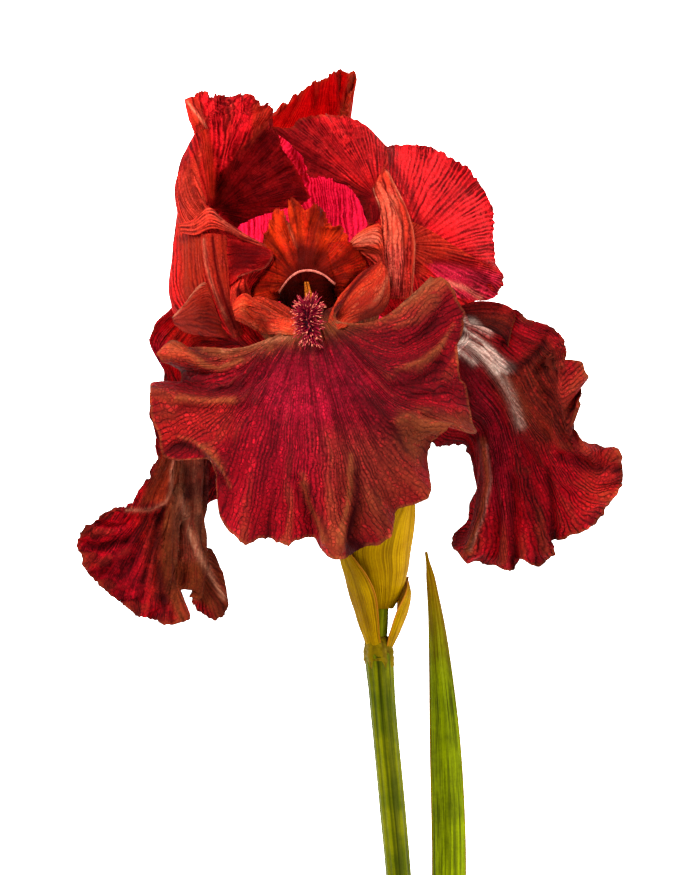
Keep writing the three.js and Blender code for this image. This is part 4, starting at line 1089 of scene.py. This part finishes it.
STANDARD_FLAP_RINGS = """
354,124,-1 366,129,-1 378,141,1 / 352,142,-1 369,145,4 385,151,4 / 351,160,-1 369,164,6 387,164,4
/ 350,176,-1 366,179,6 382,176,3 / 352,190,-1 363,193,6 374,191,3 / 361,205,0 370,208,5 379,207,3
/ 365,218,1 372,220,4 379,219,2 / 368,226,.5 371,227,2 374,225,1"""
STANDARD_FLAP_MARKS = f"""
fan 380 205 64 2.6 15 100 {FLAP}
line pale .9 1.5 374,192 377,202 381,213
line velvet .7 1.5 380,140 386,152 387,164 381,176 374,190
area glow .5 6 350,110 400,140 392,180 350,180
area dusk .6 5 350,190 366,196 384,214 376,230 364,224"""
add_fold("standard_flap", right, 60, 130, 8, 51, STANDARD_FLAP_RINGS, STANDARD_FLAP_MARKS)

STANDARD_RIB_RINGS = """
372,176,0 378,173,2 386,172,1 / 374,194,1 384,191,5 393,187,2.5 / 379,212,1 391,210,7 404,209,3
/ 381,230,1 395,229,8 411,229,3 / 381,248,1 396,248,8 414,248,3 / 382,268,1 397,267,7 413,268,3
/ 385,286,1 398,285,6 412,286,3 / 383,300,0 396,300,3 411,300,1"""
STANDARD_RIB_MARKS = """
ridge -1.5 2 380,185 393,206 402,229 404,263 400,294
ridge 1.2 2.5 386,176 400,204 409,229 411,250 409,290
line dusk .7 1.4 380,185 393,206 402,229 404,263 400,294
line dusk .4 1.2 384,215 391,240 393,270 390,296
line velvet 1 2.5 386,176 394,189 404,210 411,229 413,250 411,295
line pale .35 1.5 386,174 394,188 405,210 412,229 414,250 412,295
area blush .3 4 380,250 404,250 402,300 382,300
area velvet .35 4 372,176 386,176 410,230 404,250 380,240
area ember .5 6 372,176 386,176 410,230 408,300 380,300
area pale .3 6 378,186 396,200 402,240 400,290 386,290"""
add_fold("standard_rib", right, 70, 140, 3, 52, STANDARD_RIB_RINGS, STANDARD_RIB_MARKS)

STANDARD_ROLL_RINGS = """
349,246,2 351,248,3 353,251,1 / 358,236,2 360,244,7 363,256,2 / 370,229,3 372,241,9 373,263,3
/ 379,227,3 380,245,9 378,269,4 / 382,240,3 383,258,8 382,276,4 / 384,262,3 385,270,5 385,281,3"""
STANDARD_ROLL_MARKS = """
ridge 1.5 2 352,250 364,246 380,250
ridge -1.5 2 354,254 366,252 381,258
line dusk .55 1.5 354,254 366,252 381,258
line velvet .8 2 350,247 360,237 371,230
line dusk .4 1.5 362,242 372,236 380,234
area ember .9 20 340,220 395,220 395,290 340,290
area velvet .35 20 340,220 395,220 395,290 340,290
area blush .5 5 360,254 382,256 386,284 366,268
area pale .5 4 349,246 360,238 376,232 380,244 362,248"""
add_fold("standard_roll", right, 50, 60, 5, 53, STANDARD_ROLL_RINGS, STANDARD_ROLL_MARKS)

STANDARD_TAIL_RINGS = """
411,224,1 412,240,1 414,262,0 / 428,232,4 430,250,3 432,275,1 / 444,242,5 447,262,4 450,296,1
/ 460,252,5 464,272,4 468,301,1 / 477,262,5 481,280,4 483,301,1 / 493,271,4 493,283,3 492,299,1
/ 502,277,3 500,286,3 497,295,2"""
STANDARD_TAIL_MARKS = """
fan 398 246 52 5.9 20 110
ridge -3 4 428,262 450,262 472,268 494,292
ridge 3 4 440,272 462,278 484,296
line dusk .6 4 428,263 450,264 472,270 494,292
line pale .6 3 448,284 466,290 480,299
line velvet .7 1.5 412,224 430,233 460,252 494,271
area velvet .55 6 411,224 470,258 430,262 414,275
area blush .7 6 428,264 502,274 498,300 440,300"""
add_fold("standard_tail", right, 70, 90, 7, 54, STANDARD_TAIL_RINGS, STANDARD_TAIL_MARKS)

STANDARD_BRIM_RINGS = """
180,226,1 181,230,3 183,235,2 / 196,222,1 197,230,5 198,237,3 / 211,211,2 212,222,6 213,231,4
/ 225,223,2 226,228,5 228,234,4 / 245,236,2 245,239,4 246,243,3 / 258,243,1 259,245,2 260,248,2
/ 267,248,.5 267,249,1 268,250,.5"""
STANDARD_BRIM_MARKS = """
area ember .75 20 170,200 280,200 280,260 170,260
area pale .25 4 205,208 230,222 268,248 228,232"""
add_fold("standard_brim", left, 50, 110, 3, 42, STANDARD_BRIM_RINGS, STANDARD_BRIM_MARKS)

STANDARD_BAND_RINGS = """
203,236,0 215,236,1 228,238,0 / 204,250,2 216,250,5 229,251,2 / 206,266,2 218,266,6 230,267,2
/ 211,285,2 221,284,6 231,285,2 / 217,303,2 226,302,6 234,303,2 / 225,321,2 232,320,5 239,320,2
/ 234,339,0 238,338,2 244,335,0"""
STANDARD_BAND_MARKS = """
ridge -1.5 2.5 214,240 218,270 226,300 236,330
line dusk .6 2 214,240 218,270 226,300 236,330
line pale .4 1.6 206,242 208,266 214,286 228,320
area velvet .75 20 195,230 235,230 250,345 220,345
area dusk .35 20 195,230 235,230 250,345 220,345"""
add_fold("standard_band", left, 60, 120, 3, 43, STANDARD_BAND_RINGS, STANDARD_BAND_MARKS)

STANDARD_TONGUE_RINGS = """
229,241,2 229,260,3 231,288,1 / 240,243,3 241,258,6 241,279,3 / 252,246,3 253,258,7 254,274,4
/ 264,249,3 264,258,6 265,270,4 / 273,255,2 274,258,3 272,263,3"""
STANDARD_TONGUE_MARKS = """
line pale .4 1.2 240,279 254,274 266,270 273,260
area dusk .45 20 225,235 280,245 270,275 225,290
area dusk .5 5 229,240 262,250 258,266 232,276"""
add_fold("standard_tongue", left, 60, 60, 3, 44, STANDARD_TONGUE_RINGS, STANDARD_TONGUE_MARKS)

STANDARD_CURL_RINGS = """
240,283,3 244,281,4 248,284,3 / 233,290,3 241,290,7 251,292,4 / 232,300,3 241,300,7 252,300,4
/ 233,309,3 240,309,6 249,307,3 / 235,316,2 240,317,3 245,314,2"""
STANDARD_CURL_MARKS = """
line dusk .7 2.5 240,292 243,300 247,306 240,311
area ember .6 20 225,275 258,275 258,322 225,322
area dusk .5 6 238,288 254,288 254,316 240,316"""
add_fold("standard_curl", left, 40, 40, 3, 45, STANDARD_CURL_RINGS, STANDARD_CURL_MARKS)

STANDARD_WEB_RINGS = """
174,318,2 175,321,3 176,325,1 / 186,305,3 187,318,4 188,333,2 / 197,291,3 200,310,4 203,336,2
/ 205,284,2 212,308,3 220,338,2 / 210,286,0 218,312,1 230,340,0"""
STANDARD_WEB_MARKS = """
line pale .8 1.6 175,318 186,305 197,291 206,284
area velvet .85 20 170,275 235,275 235,345 170,345
area dusk .45 30 170,275 235,275 235,345 170,345
area dusk .3 8 200,300 215,300 232,338 205,330"""
add_fold("standard_web", left, 60, 70, 4, 46, STANDARD_WEB_RINGS, STANDARD_WEB_MARKS)

STANDARD_CORNER_RINGS = """
186,102,1 192,100,3 199,100,1 / 188,114,2 195,112,4 202,112,2 / 192,126,1 199,124,4 206,124,2
/ 196,138,0 203,133,2 208,130,1"""
STANDARD_CORNER_MARKS = """
line pale .6 1.3 188,104 198,118 208,130
area velvet .6 20 180,95 212,95 212,140 180,140
area dusk .4 3 196,104 202,112 206,124 200,120"""
add_fold("standard_corner", left, 40, 50, 2, 47, STANDARD_CORNER_RINGS, STANDARD_CORNER_MARKS)

BACK_STANDARD_MARKS = """
ridge 5 5 352,78 348,95 344,115
ridge -4 5 338,80 336,100 334,118
ridge 4 4 290,145 298,165 304,180
ridge -4 4 284,150 292,170 298,180
line velvet .9 6 354,75 349,92 343,116
line pale .35 3 264,128 280,140 292,160 304,178
line dusk .44 3 294,150 300,165 306,182
line velvet .6 4 276,128 290,131 300,124
area blush 1 6 255,127 300,140 420,160 420,330 230,330 225,210
area ember .6 8 262,110 300,95 300,125 262,128
area dusk .4 8 262,125 290,90 345,60 360,75 345,125 300,130"""
add_petal(
    "back_standard", "standard_back", STANDARD_BACK, "back_petal", BACK_LOOK,
    220, 190, 22, 61, BACK_STANDARD_MARKS, pleat=1.6, tones=dict(glow=0.0, margin=0.3))

STYLE_FAN = "fan 304 286 60 1.57 15 90"
# Dark areas under the crest paint the shade of the throat; the bright line on the crest is painted
# backlight.
FRONT_STYLE_MARKS = f"""
{STYLE_FAN}
ridge 2 3 290,214 296,232 301,250
ridge 3 4 276,215 282,240 290,262
ridge -3 4 266,225 274,248 284,266
ridge 3 4 318,215 318,240 312,262
ridge -3 4 328,225 326,248 318,266
ridge 3 5 345,240 340,258 328,272
line glow .9 5 291,206 295,222 299,240
line pale .5 1.5 286,218 292,236 298,250
line dusk .44 3 299,225 300,245 302,268
line dusk .33 6 262,300 278,262 303,252 332,258 350,285
area dusk .95 14 286,272 303,250 325,258 338,285 330,330 280,330
area dusk .97 3 279,293 290,280 303,272 322,275 335,283 345,340 275,340
area glow .5 8 262,222 285,212 290,240 270,262 255,290
area glow .4 8 310,212 350,240 362,270 335,262 315,240
area ember .5 6 244,275 262,262 275,290 250,305"""
style = add_petal(
    "front_style", "style_front", STYLE_FRONT, "style_arm", STYLE_LOOK,
    180, 140, 16, 71, FRONT_STYLE_MARKS, pleat=0.9, crumple=0.4, frill=26, frill_height=1.0,
    teeth=4.5, tones=dict(glow=0.1, margin=0.3, ridge=0.2))

# The skirts under the style carry painted shade.
STYLE_LEFT_SKIRT_RINGS = """
254,262,-1 264,260,-1 276,260,-1 / 249,274,0 261,272,2 277,272,-1 / 247,286,1 260,285,3 279,285,-1
/ 249,301,0 262,301,2 281,300,-2"""
STYLE_LEFT_SKIRT_MARKS = f"""
{STYLE_FAN}
area dusk .3 12 268,262 300,262 300,315 268,315"""
add_fold("style_left_skirt", style, 50, 50, 16, 71, STYLE_LEFT_SKIRT_RINGS, STYLE_LEFT_SKIRT_MARKS)

STYLE_RIGHT_SKIRT_RINGS = """
328,246,-1 344,244,-1 360,248,-1 / 329,258,-1 345,256,1 364,260,0 / 332,270,-1 346,268,2 366,272,1
/ 335,283,-1 346,283,2 362,286,1 / 335,298,-2 344,299,1 356,302,0"""
STYLE_RIGHT_SKIRT_MARKS = f"""
{STYLE_FAN}
area dusk .6 14 318,262 342,262 346,315 318,315"""
add_fold("style_right_skirt", style, 50, 60, 16, 71, STYLE_RIGHT_SKIRT_RINGS,
         STYLE_RIGHT_SKIRT_MARKS)


# Painted shade over the side styles.
SIDE_STYLE_MARKS = "area dusk .5 8 250,300 400,300 400,420 250,420"
for side, arm, seed in (("left", STYLE_LEFT, 81), ("right", STYLE_RIGHT, 82)):
    add_petal(side + "_style", "style_" + side, arm, "style_arm", STYLE_LOOK, 80, 70, 10, seed,
              SIDE_STYLE_MARKS, pleat=0.8, crumple=0.3, frill=14, frill_height=0.6)

LIP_WIDTH = 0.35  # of the width of the lip's plain solid
LIPS = {
    "front": (LIP_FRONT, "line pale 1 1.8 278,292 289,281 298,274 307,272 316,273 325,277 335,285"),
    "left": (LIP_LEFT, "line pale 1 1.8 262,312 258,307 264,316"),
    "right": (LIP_RIGHT, "line pale 1 1.8 438,312 442,307 436,316"),
}
for side, (lip, marks) in LIPS.items():
    lip = np.array(lip)
    add_petal(side + "_lip", "stigma_lip_" + side, lip[0] + (lip - lip[0]) * LIP_WIDTH,
              "stigma_lip", LIP_LOOK, 60, 16, 14, 91, marks, dict(glow=0.0, margin=0.0, ridge=0.0),
              pleat=0.3, crumple=0.15, frill=14, frill_height=0.2, teeth=0.4)


def tube_faces(rings, sides):
    """Quads of a tube of rings, each with its number of sides."""
    index = np.arange(rings * sides).reshape(rings, sides)
    a, b = index[:-1], index[1:]
    return np.stack([a, np.roll(a, -1, 1), np.roll(b, -1, 1), b], -1).reshape(-1, 4)


HAIR_SIDES = 5
HAIR_WIDTH = 0.85  # net units
HAIR_BODY = np.array([1.0, 0.8, 0.64, 0.56, 0.6, 0.62, 0.1])  # widths from the root to the tip


def hairs_of(roots, ways, lengths, bends):
    """Fine hairs with a slim neck and a rounded club at the end, and how far each point is out."""
    rings = len(HAIR_BODY)
    t = np.linspace(0, 1, rings)
    body = HAIR_WIDTH * HAIR_BODY
    side = unit(np.cross(ways, [0.31, 0.52, 0.79]))
    over = np.cross(ways, side)
    a = 2 * np.pi * np.arange(HAIR_SIDES) / HAIR_SIDES
    centre = roots[:, None] + ways[:, None] * (t[None, :, None] * lengths[:, None, None])
    centre = centre + bends[:, None] * (t[None, :, None] ** 2)
    ring = side[:, None, None] * np.cos(a)[None, None, :, None]
    ring = ring + over[:, None, None] * np.sin(a)[None, None, :, None]
    points = centre[:, :, None] + ring * body[None, :, None, None]
    count = rings * HAIR_SIDES
    first = count * np.arange(len(roots))
    quads = (tube_faces(rings, HAIR_SIDES)[None] + first[:, None, None]).reshape(-1, 4)
    tips = first[:, None] + np.arange(count - HAIR_SIDES, count)[None, :]
    out = np.broadcast_to(t[None, :, None], points.shape[:3])
    return points.reshape(-1, 3), quads, tips, out.ravel()


def place_on(net, section):
    """The middle of a net at a section, and its normal there."""
    small = 0.01  # of the way across or of a section

    def at(u, v):
        return spline([spline(ring, [u])[0] for ring in net], [v / (len(net) - 1)])[0]

    over = at(0.5 + small, section) - at(0.5 - small, section)
    along = at(0.5, section + small) - at(0.5, section - small)
    normal = np.cross(over, along)
    return at(0.5, section), normal / np.linalg.norm(normal)


CORE_RADIUS = 4.4  # net units, as the lift is
CORE_LIFT = 7.0
CORE_SIDES, CORE_STEPS, CORE_PARTS = 20, 30, 8
HAIR_TURN = 1.05 * np.pi  # the whole angle over which the hairs spread round the core
HAIR_LEAN, STRAY_LEAN = 2.2, 1.3  # along the core, from its start to its end and by chance
HAIR_BEND = 1.3  # net units, by chance


def add_beard(side, net, start, end, face, hairs, length, seed):
    """A beard: a core along the middle of its fall, and club-shaped hairs all over it."""
    random = np.random.default_rng(seed)
    parts = range(CORE_PARTS + 1)
    places = [place_on(net, start + (end - start) * k / CORE_PARTS) for k in parts]
    ups = np.array([n * face for _, n in places])
    centres = np.array([p for p, _ in places]) + ups * CORE_LIFT
    core = [CORE_RADIUS * math.sqrt(1 - 0.8 * abs(2 * k / CORE_PARTS - 1) ** 3) for k in parts]
    points = rod_rings(centres, core, CORE_SIDES, CORE_STEPS)[0].reshape(-1, 3)
    first = np.arange(CORE_SIDES)[None]
    caps = [first[:, ::-1], first + CORE_STEPS * CORE_SIDES]
    u = (np.arange(hairs) + random.random(hairs)) / hairs
    roots = spline(centres, u)
    axis = unit(spline(centres, np.minimum(u + 0.01, 1)) - spline(centres, np.maximum(u - 0.01, 0)))
    up = ups[np.round(u * CORE_PARTS).astype(int)]
    across = unit(np.cross(axis, up))
    turn = (random.random(hairs) - 0.5) * HAIR_TURN
    lean = (u - 0.5) * HAIR_LEAN + (random.random(hairs) - 0.5) * STRAY_LEAN
    ways = up * np.cos(turn)[:, None] + across * np.sin(turn)[:, None] + axis * lean[:, None]
    lengths = CORE_RADIUS * 0.5 + length * (0.6 + 0.4 * random.random(hairs))
    bends = random.normal(0, HAIR_BEND, (hairs, 3)) + axis * 1.5
    hair, quads, tips, out = hairs_of(roots, unit(ways), lengths, bends)
    quads = np.concatenate([tube_faces(CORE_STEPS + 1, CORE_SIDES), quads + len(points)])
    tones = {"out": np.concatenate([np.zeros(len(points)), out])}
    add_piece(side + "_beard", np.concatenate([points, hair]), [quads, *caps, tips + len(points)],
              BEARD_LOOK, "beard_" + side, tones, sharp=80)


BEARD_SEED = 201
for more, (side, beard) in enumerate(BEARDS.items()):
    add_beard(side, *beard, BEARD_SEED + more)

LOBE_RADII = [1.7, 2.1, 0.9]  # net units, as the shift is
LOBE_SHIFT = 1.8
LOBE_SIDES, LOBE_STEPS = 24, 40


def add_anther(side, points):
    """Two slim pollen lobes side by side, closer at the tip, with a groove down each."""
    parts, faces = [], []
    sides, rows = np.arange(LOBE_SIDES), np.arange(LOBE_STEPS + 1)
    for lobe, shift in enumerate((-LOBE_SHIFT, LOBE_SHIFT)):
        line = [[x + shift * (1.5 - 0.4 * k), y, z] for k, (x, y, z) in enumerate(points)]
        rings = rod_rings(line, LOBE_RADII, LOBE_SIDES, LOBE_STEPS)[0]
        middle = rings.mean(1, keepdims=True)
        groove = 1 - 0.22 * np.exp(-((np.linspace(0, 1, LOBE_SIDES) - 0.25) / 0.07) ** 2)
        groove = groove[None, :] * (1 + 0.05 * noise(sides[None, :], rows[:, None], 7))
        parts.append((middle + (rings - middle) * groove[..., None]).reshape(-1, 3))
        base = lobe * len(rows) * LOBE_SIDES
        faces += [tube_faces(len(rows), LOBE_SIDES) + base, base + sides[None, ::-1],
                  base + LOBE_STEPS * LOBE_SIDES + sides[None]]
    add_piece("anther_lobes_" + side, np.concatenate(parts), faces, POLLEN_LOOK,
              "anther_" + side, {})


for side, (_, anther) in STAMENS.items():
    add_anther(side, anther)


def striped(sheet, veins, seed):
    """Tones and a low relief for the long parallel veins of green tissue."""
    warp = 0.2 * noise(sheet.u * veins * 0.5, sheet.s * 5, seed)
    sheet.tones["across"] = sheet.u * veins + warp
    sheet.tones["dusk"] = 0.1 + 0.12 * noise(sheet.u * 5, sheet.s * 6, seed + 1)
    sheet.tones["travel"] = (sheet.s + 0 * sheet.u) * sheet.reach() / VEIN_STEP
    sheet.raise_by(0.28 * np.cos(2 * np.pi * sheet.tones["across"]))


def add_bract(name, node, levels, points, across, rows, veins, seed):
    """A bract of the spathe from its levels, thinner and drier at the sides and at the tip."""
    sheet = Sheet([arc(level, points) for level in levels], across, rows)
    sheet.raise_by(0.8 * noise(sheet.u * 6, sheet.s * 5, seed + 3) * smooth(sheet.s, 0.05, 0.3))
    striped(sheet, veins, seed)
    side, tip = np.abs(sheet.u - 0.5), sheet.s
    sheet.tones["glow"] = 0.9 * np.maximum(smooth(side, 0.45, 0.49), smooth(tip, 0.8, 1.0))
    thin = np.maximum(smooth(side, 0.38, 0.5), smooth(tip, 0.7, 1.0))
    add_sheet(name, sheet, 2.2 - 1.4 * thin, BRACT_LOOK, node)


add_bract("inner_spathe", "spathe_inner", SPATHE_INNER, 17, 110, 110, 60, 101)
add_bract("left_spathe", "spathe_left", SPATHE_LEFT, 9, 70, 100, 22, 111)
add_bract("right_spathe", "spathe_right", SPATHE_RIGHT, 9, 60, 90, 18, 121)

# The leaf, which narrows to a dry tip.
leaf = Sheet(LEAF, 96, 420)
middle = leaf.grid.mean(axis=1, keepdims=True)
slim = 1 - 0.75 * smooth(leaf.s, 0.95, 1.0)
leaf.grid = middle + (leaf.grid - middle) * slim[..., None]
striped(leaf, 19, 131)
edge = np.abs(leaf.u - 0.5)
leaf.tones["dusk"] = leaf.tones["dusk"] + 0.45 * smooth(leaf.s, 0.84, 1.0)
leaf.tones["glow"] = np.clip(0.8 * smooth(edge, 0.44, 0.5) + 0.7 * smooth(leaf.s, 0.75, 1.0), 0, 1)
add_sheet("sword_leaf", leaf, 3.2 - 2.2 * smooth(edge, 0.3, 0.5), LEAF_LOOK, "leaf")


def add_rod(name, node, look, points, radii, sides, steps, ribs=0, rib=0.0, seed=1,
            cap_rings=4, domes=(0.0, 0.0), lumps=0.0, cuts=(0.0, 0.0), dusks=(0.1, 0.1)):
    """A rod along the part's own curve, ribbed or lumpy, closed by caps of several rings. Domes
    are the heights of its caps, cuts how far they are a fresh cut, and dusks how dark its start
    and its end are."""
    rings, axes, at = rod_rings(points, in_net_units(radii), sides, steps)
    centres = rings.mean(1, keepdims=True)
    a = np.arange(sides) / sides
    swell = 1 - rib * (0.5 - 0.5 * np.cos(2 * np.pi * a * ribs))[None, :]
    swell = swell + lumps * noise(a[None, :] * 12, at[:, None] * 14, seed)
    rings = centres + (rings - centres) * swell[..., None]
    index = np.arange((steps + 1) * sides).reshape(-1, sides)
    bands, loops, ends = list(zip(index, index[1:])), [rings.reshape(-1, 3)], []
    for end, way in ((0, -1), (-1, 1)):
        loop = index[end]
        for k in range(1, cap_rings + 1):
            share = 1 - k / (cap_rings + 1)
            inner = index.size + (len(loops) - 1) * sides + np.arange(sides)
            inset = centres[end] + (rings[end] - centres[end]) * share
            loops.append(inset + axes[end] * way * domes[end] * (1 - share**2) ** 0.5)
            bands.append((inner, loop) if way < 0 else (loop, inner))
            loop = inner
        ends.append(loop[None, ::way])
    quads = [np.stack([a, np.roll(a, -1), np.roll(b, -1), b], 1) for a, b in bands]
    across = np.tile(np.arange(sides) / sides * max(ribs, 8), steps + 1 + 2 * cap_rings)
    cut = np.concatenate([np.zeros(index.size), np.repeat(cuts, cap_rings * sides)])
    travel = np.concatenate([np.repeat(at, sides), np.ones(2 * cap_rings * sides)])
    tones = {"across": across, "glow": 0.8 * cut, "travel": travel * 20,
             "dusk": dusks[0] + (dusks[1] - dusks[0]) * travel}
    add_piece(name, np.concatenate(loops), [np.concatenate(quads), *ends], look, node, tones)


add_rod("flower_tube", "perianth_tube", TUBE_LOOK, TUBE_PATH, TUBE_RADII, 60, 50,
        ribs=6, rib=0.1, lumps=0.02)
add_rod("seed_ovary", "ovary", TUBE_LOOK, OVARY_PATH, OVARY_RADII, 60, 50,
        ribs=6, rib=0.12, lumps=0.02)
add_rod("flower_stalk", "pedicel", TUBE_LOOK, PEDICEL_PATH, [PEDICEL_RADIUS] * 3, 32, 24,
        ribs=8, rib=0.05)
add_rod("main_stem", "stem", STEM_LOOK, STEM_PATH, STEM_RADII, 96, 300, ribs=11,
        rib=0.07, lumps=0.012, cap_rings=8, domes=(9.0, -1.0), cuts=(0.0, 1.0), dusks=(0.05, 0.5))
add_rod("stem_collar", "stem", COLLAR_LOOK, COLLAR_PATH, COLLAR_RADII, 96, 40, ribs=7,
        rib=0.1, lumps=0.05, seed=5, cap_rings=8, domes=(4.0, 0.0))
add_rod("style_stalk", "style_column", COLUMN_LOOK, COLUMN_PATH, COLUMN_RADII, 40,
        24, ribs=3, rib=0.12)
for side, (filament, _) in STAMENS.items():
    add_rod("stamen_" + side, "filament_" + side, FILAMENT_LOOK, filament,
            [FILAMENT_RADIUS] * len(filament), 16, 30)

# Camera straight above, at the photograph's framing; a pale floor and soft studio light.
CAMERA_HEIGHT = 6.0
SENSOR = 36.0  # millimetres
FLOOR_HALF = 2  # metres
WORLD_LIGHT = 1.15
camera_data = bpy.data.cameras.new("camera")
camera_data.sensor_width = SENSOR
camera_data.lens = SENSOR * CAMERA_HEIGHT / (PICTURE[1] * NET_UNIT)
camera_data.clip_end = 100
camera = add_object("camera", camera_data)
aim = [PICTURE[0] / 2 - HEART_PIXEL[0], HEART_PIXEL[1] - PICTURE[1] / 2, 0]
aim = HEART + np.array(aim) * NET_UNIT
camera.location = (aim[0], aim[1], CAMERA_HEIGHT)
bpy.context.scene.camera = camera

corners = [(x * FLOOR_HALF, y * FLOOR_HALF, 0) for x, y in ((-1, -1), (1, -1), (1, 1), (-1, 1))]
floor_mesh = bpy.data.meshes.new("floor")
floor_mesh.from_pydata(corners, [], [(0, 1, 2, 3)])
floor_mesh.materials.append(floor_look())
add_object("floor", floor_mesh)

world = bpy.data.worlds.new("studio")
bpy.context.scene.world = world
world.use_nodes = True
background = world.node_tree.nodes["Background"]
background.inputs["Color"].default_value = (1, 1, 1, 1)
background.inputs["Strength"].default_value = WORLD_LIGHT
LIT_PLACE = np.array([0, 0.03, 0.04])  # where the lights point


def add_light(name, place, size, power):
    data = bpy.data.lights.new(name, "AREA")
    data.size, data.energy = size, power
    light = add_object(name, data)
    light.location = place
    way = Vector(LIT_PLACE - np.array(place))
    light.rotation_euler = way.to_track_quat("-Z", "Y").to_euler()
    light.visible_camera = False


add_light("key", (-0.6, 0.8, 1.1), 0.4, 54.0)
add_light("fill", (0.9, -0.1, 0.9), 0.9, 24.0)

bpy.context.scene.view_settings.view_transform = "Standard"
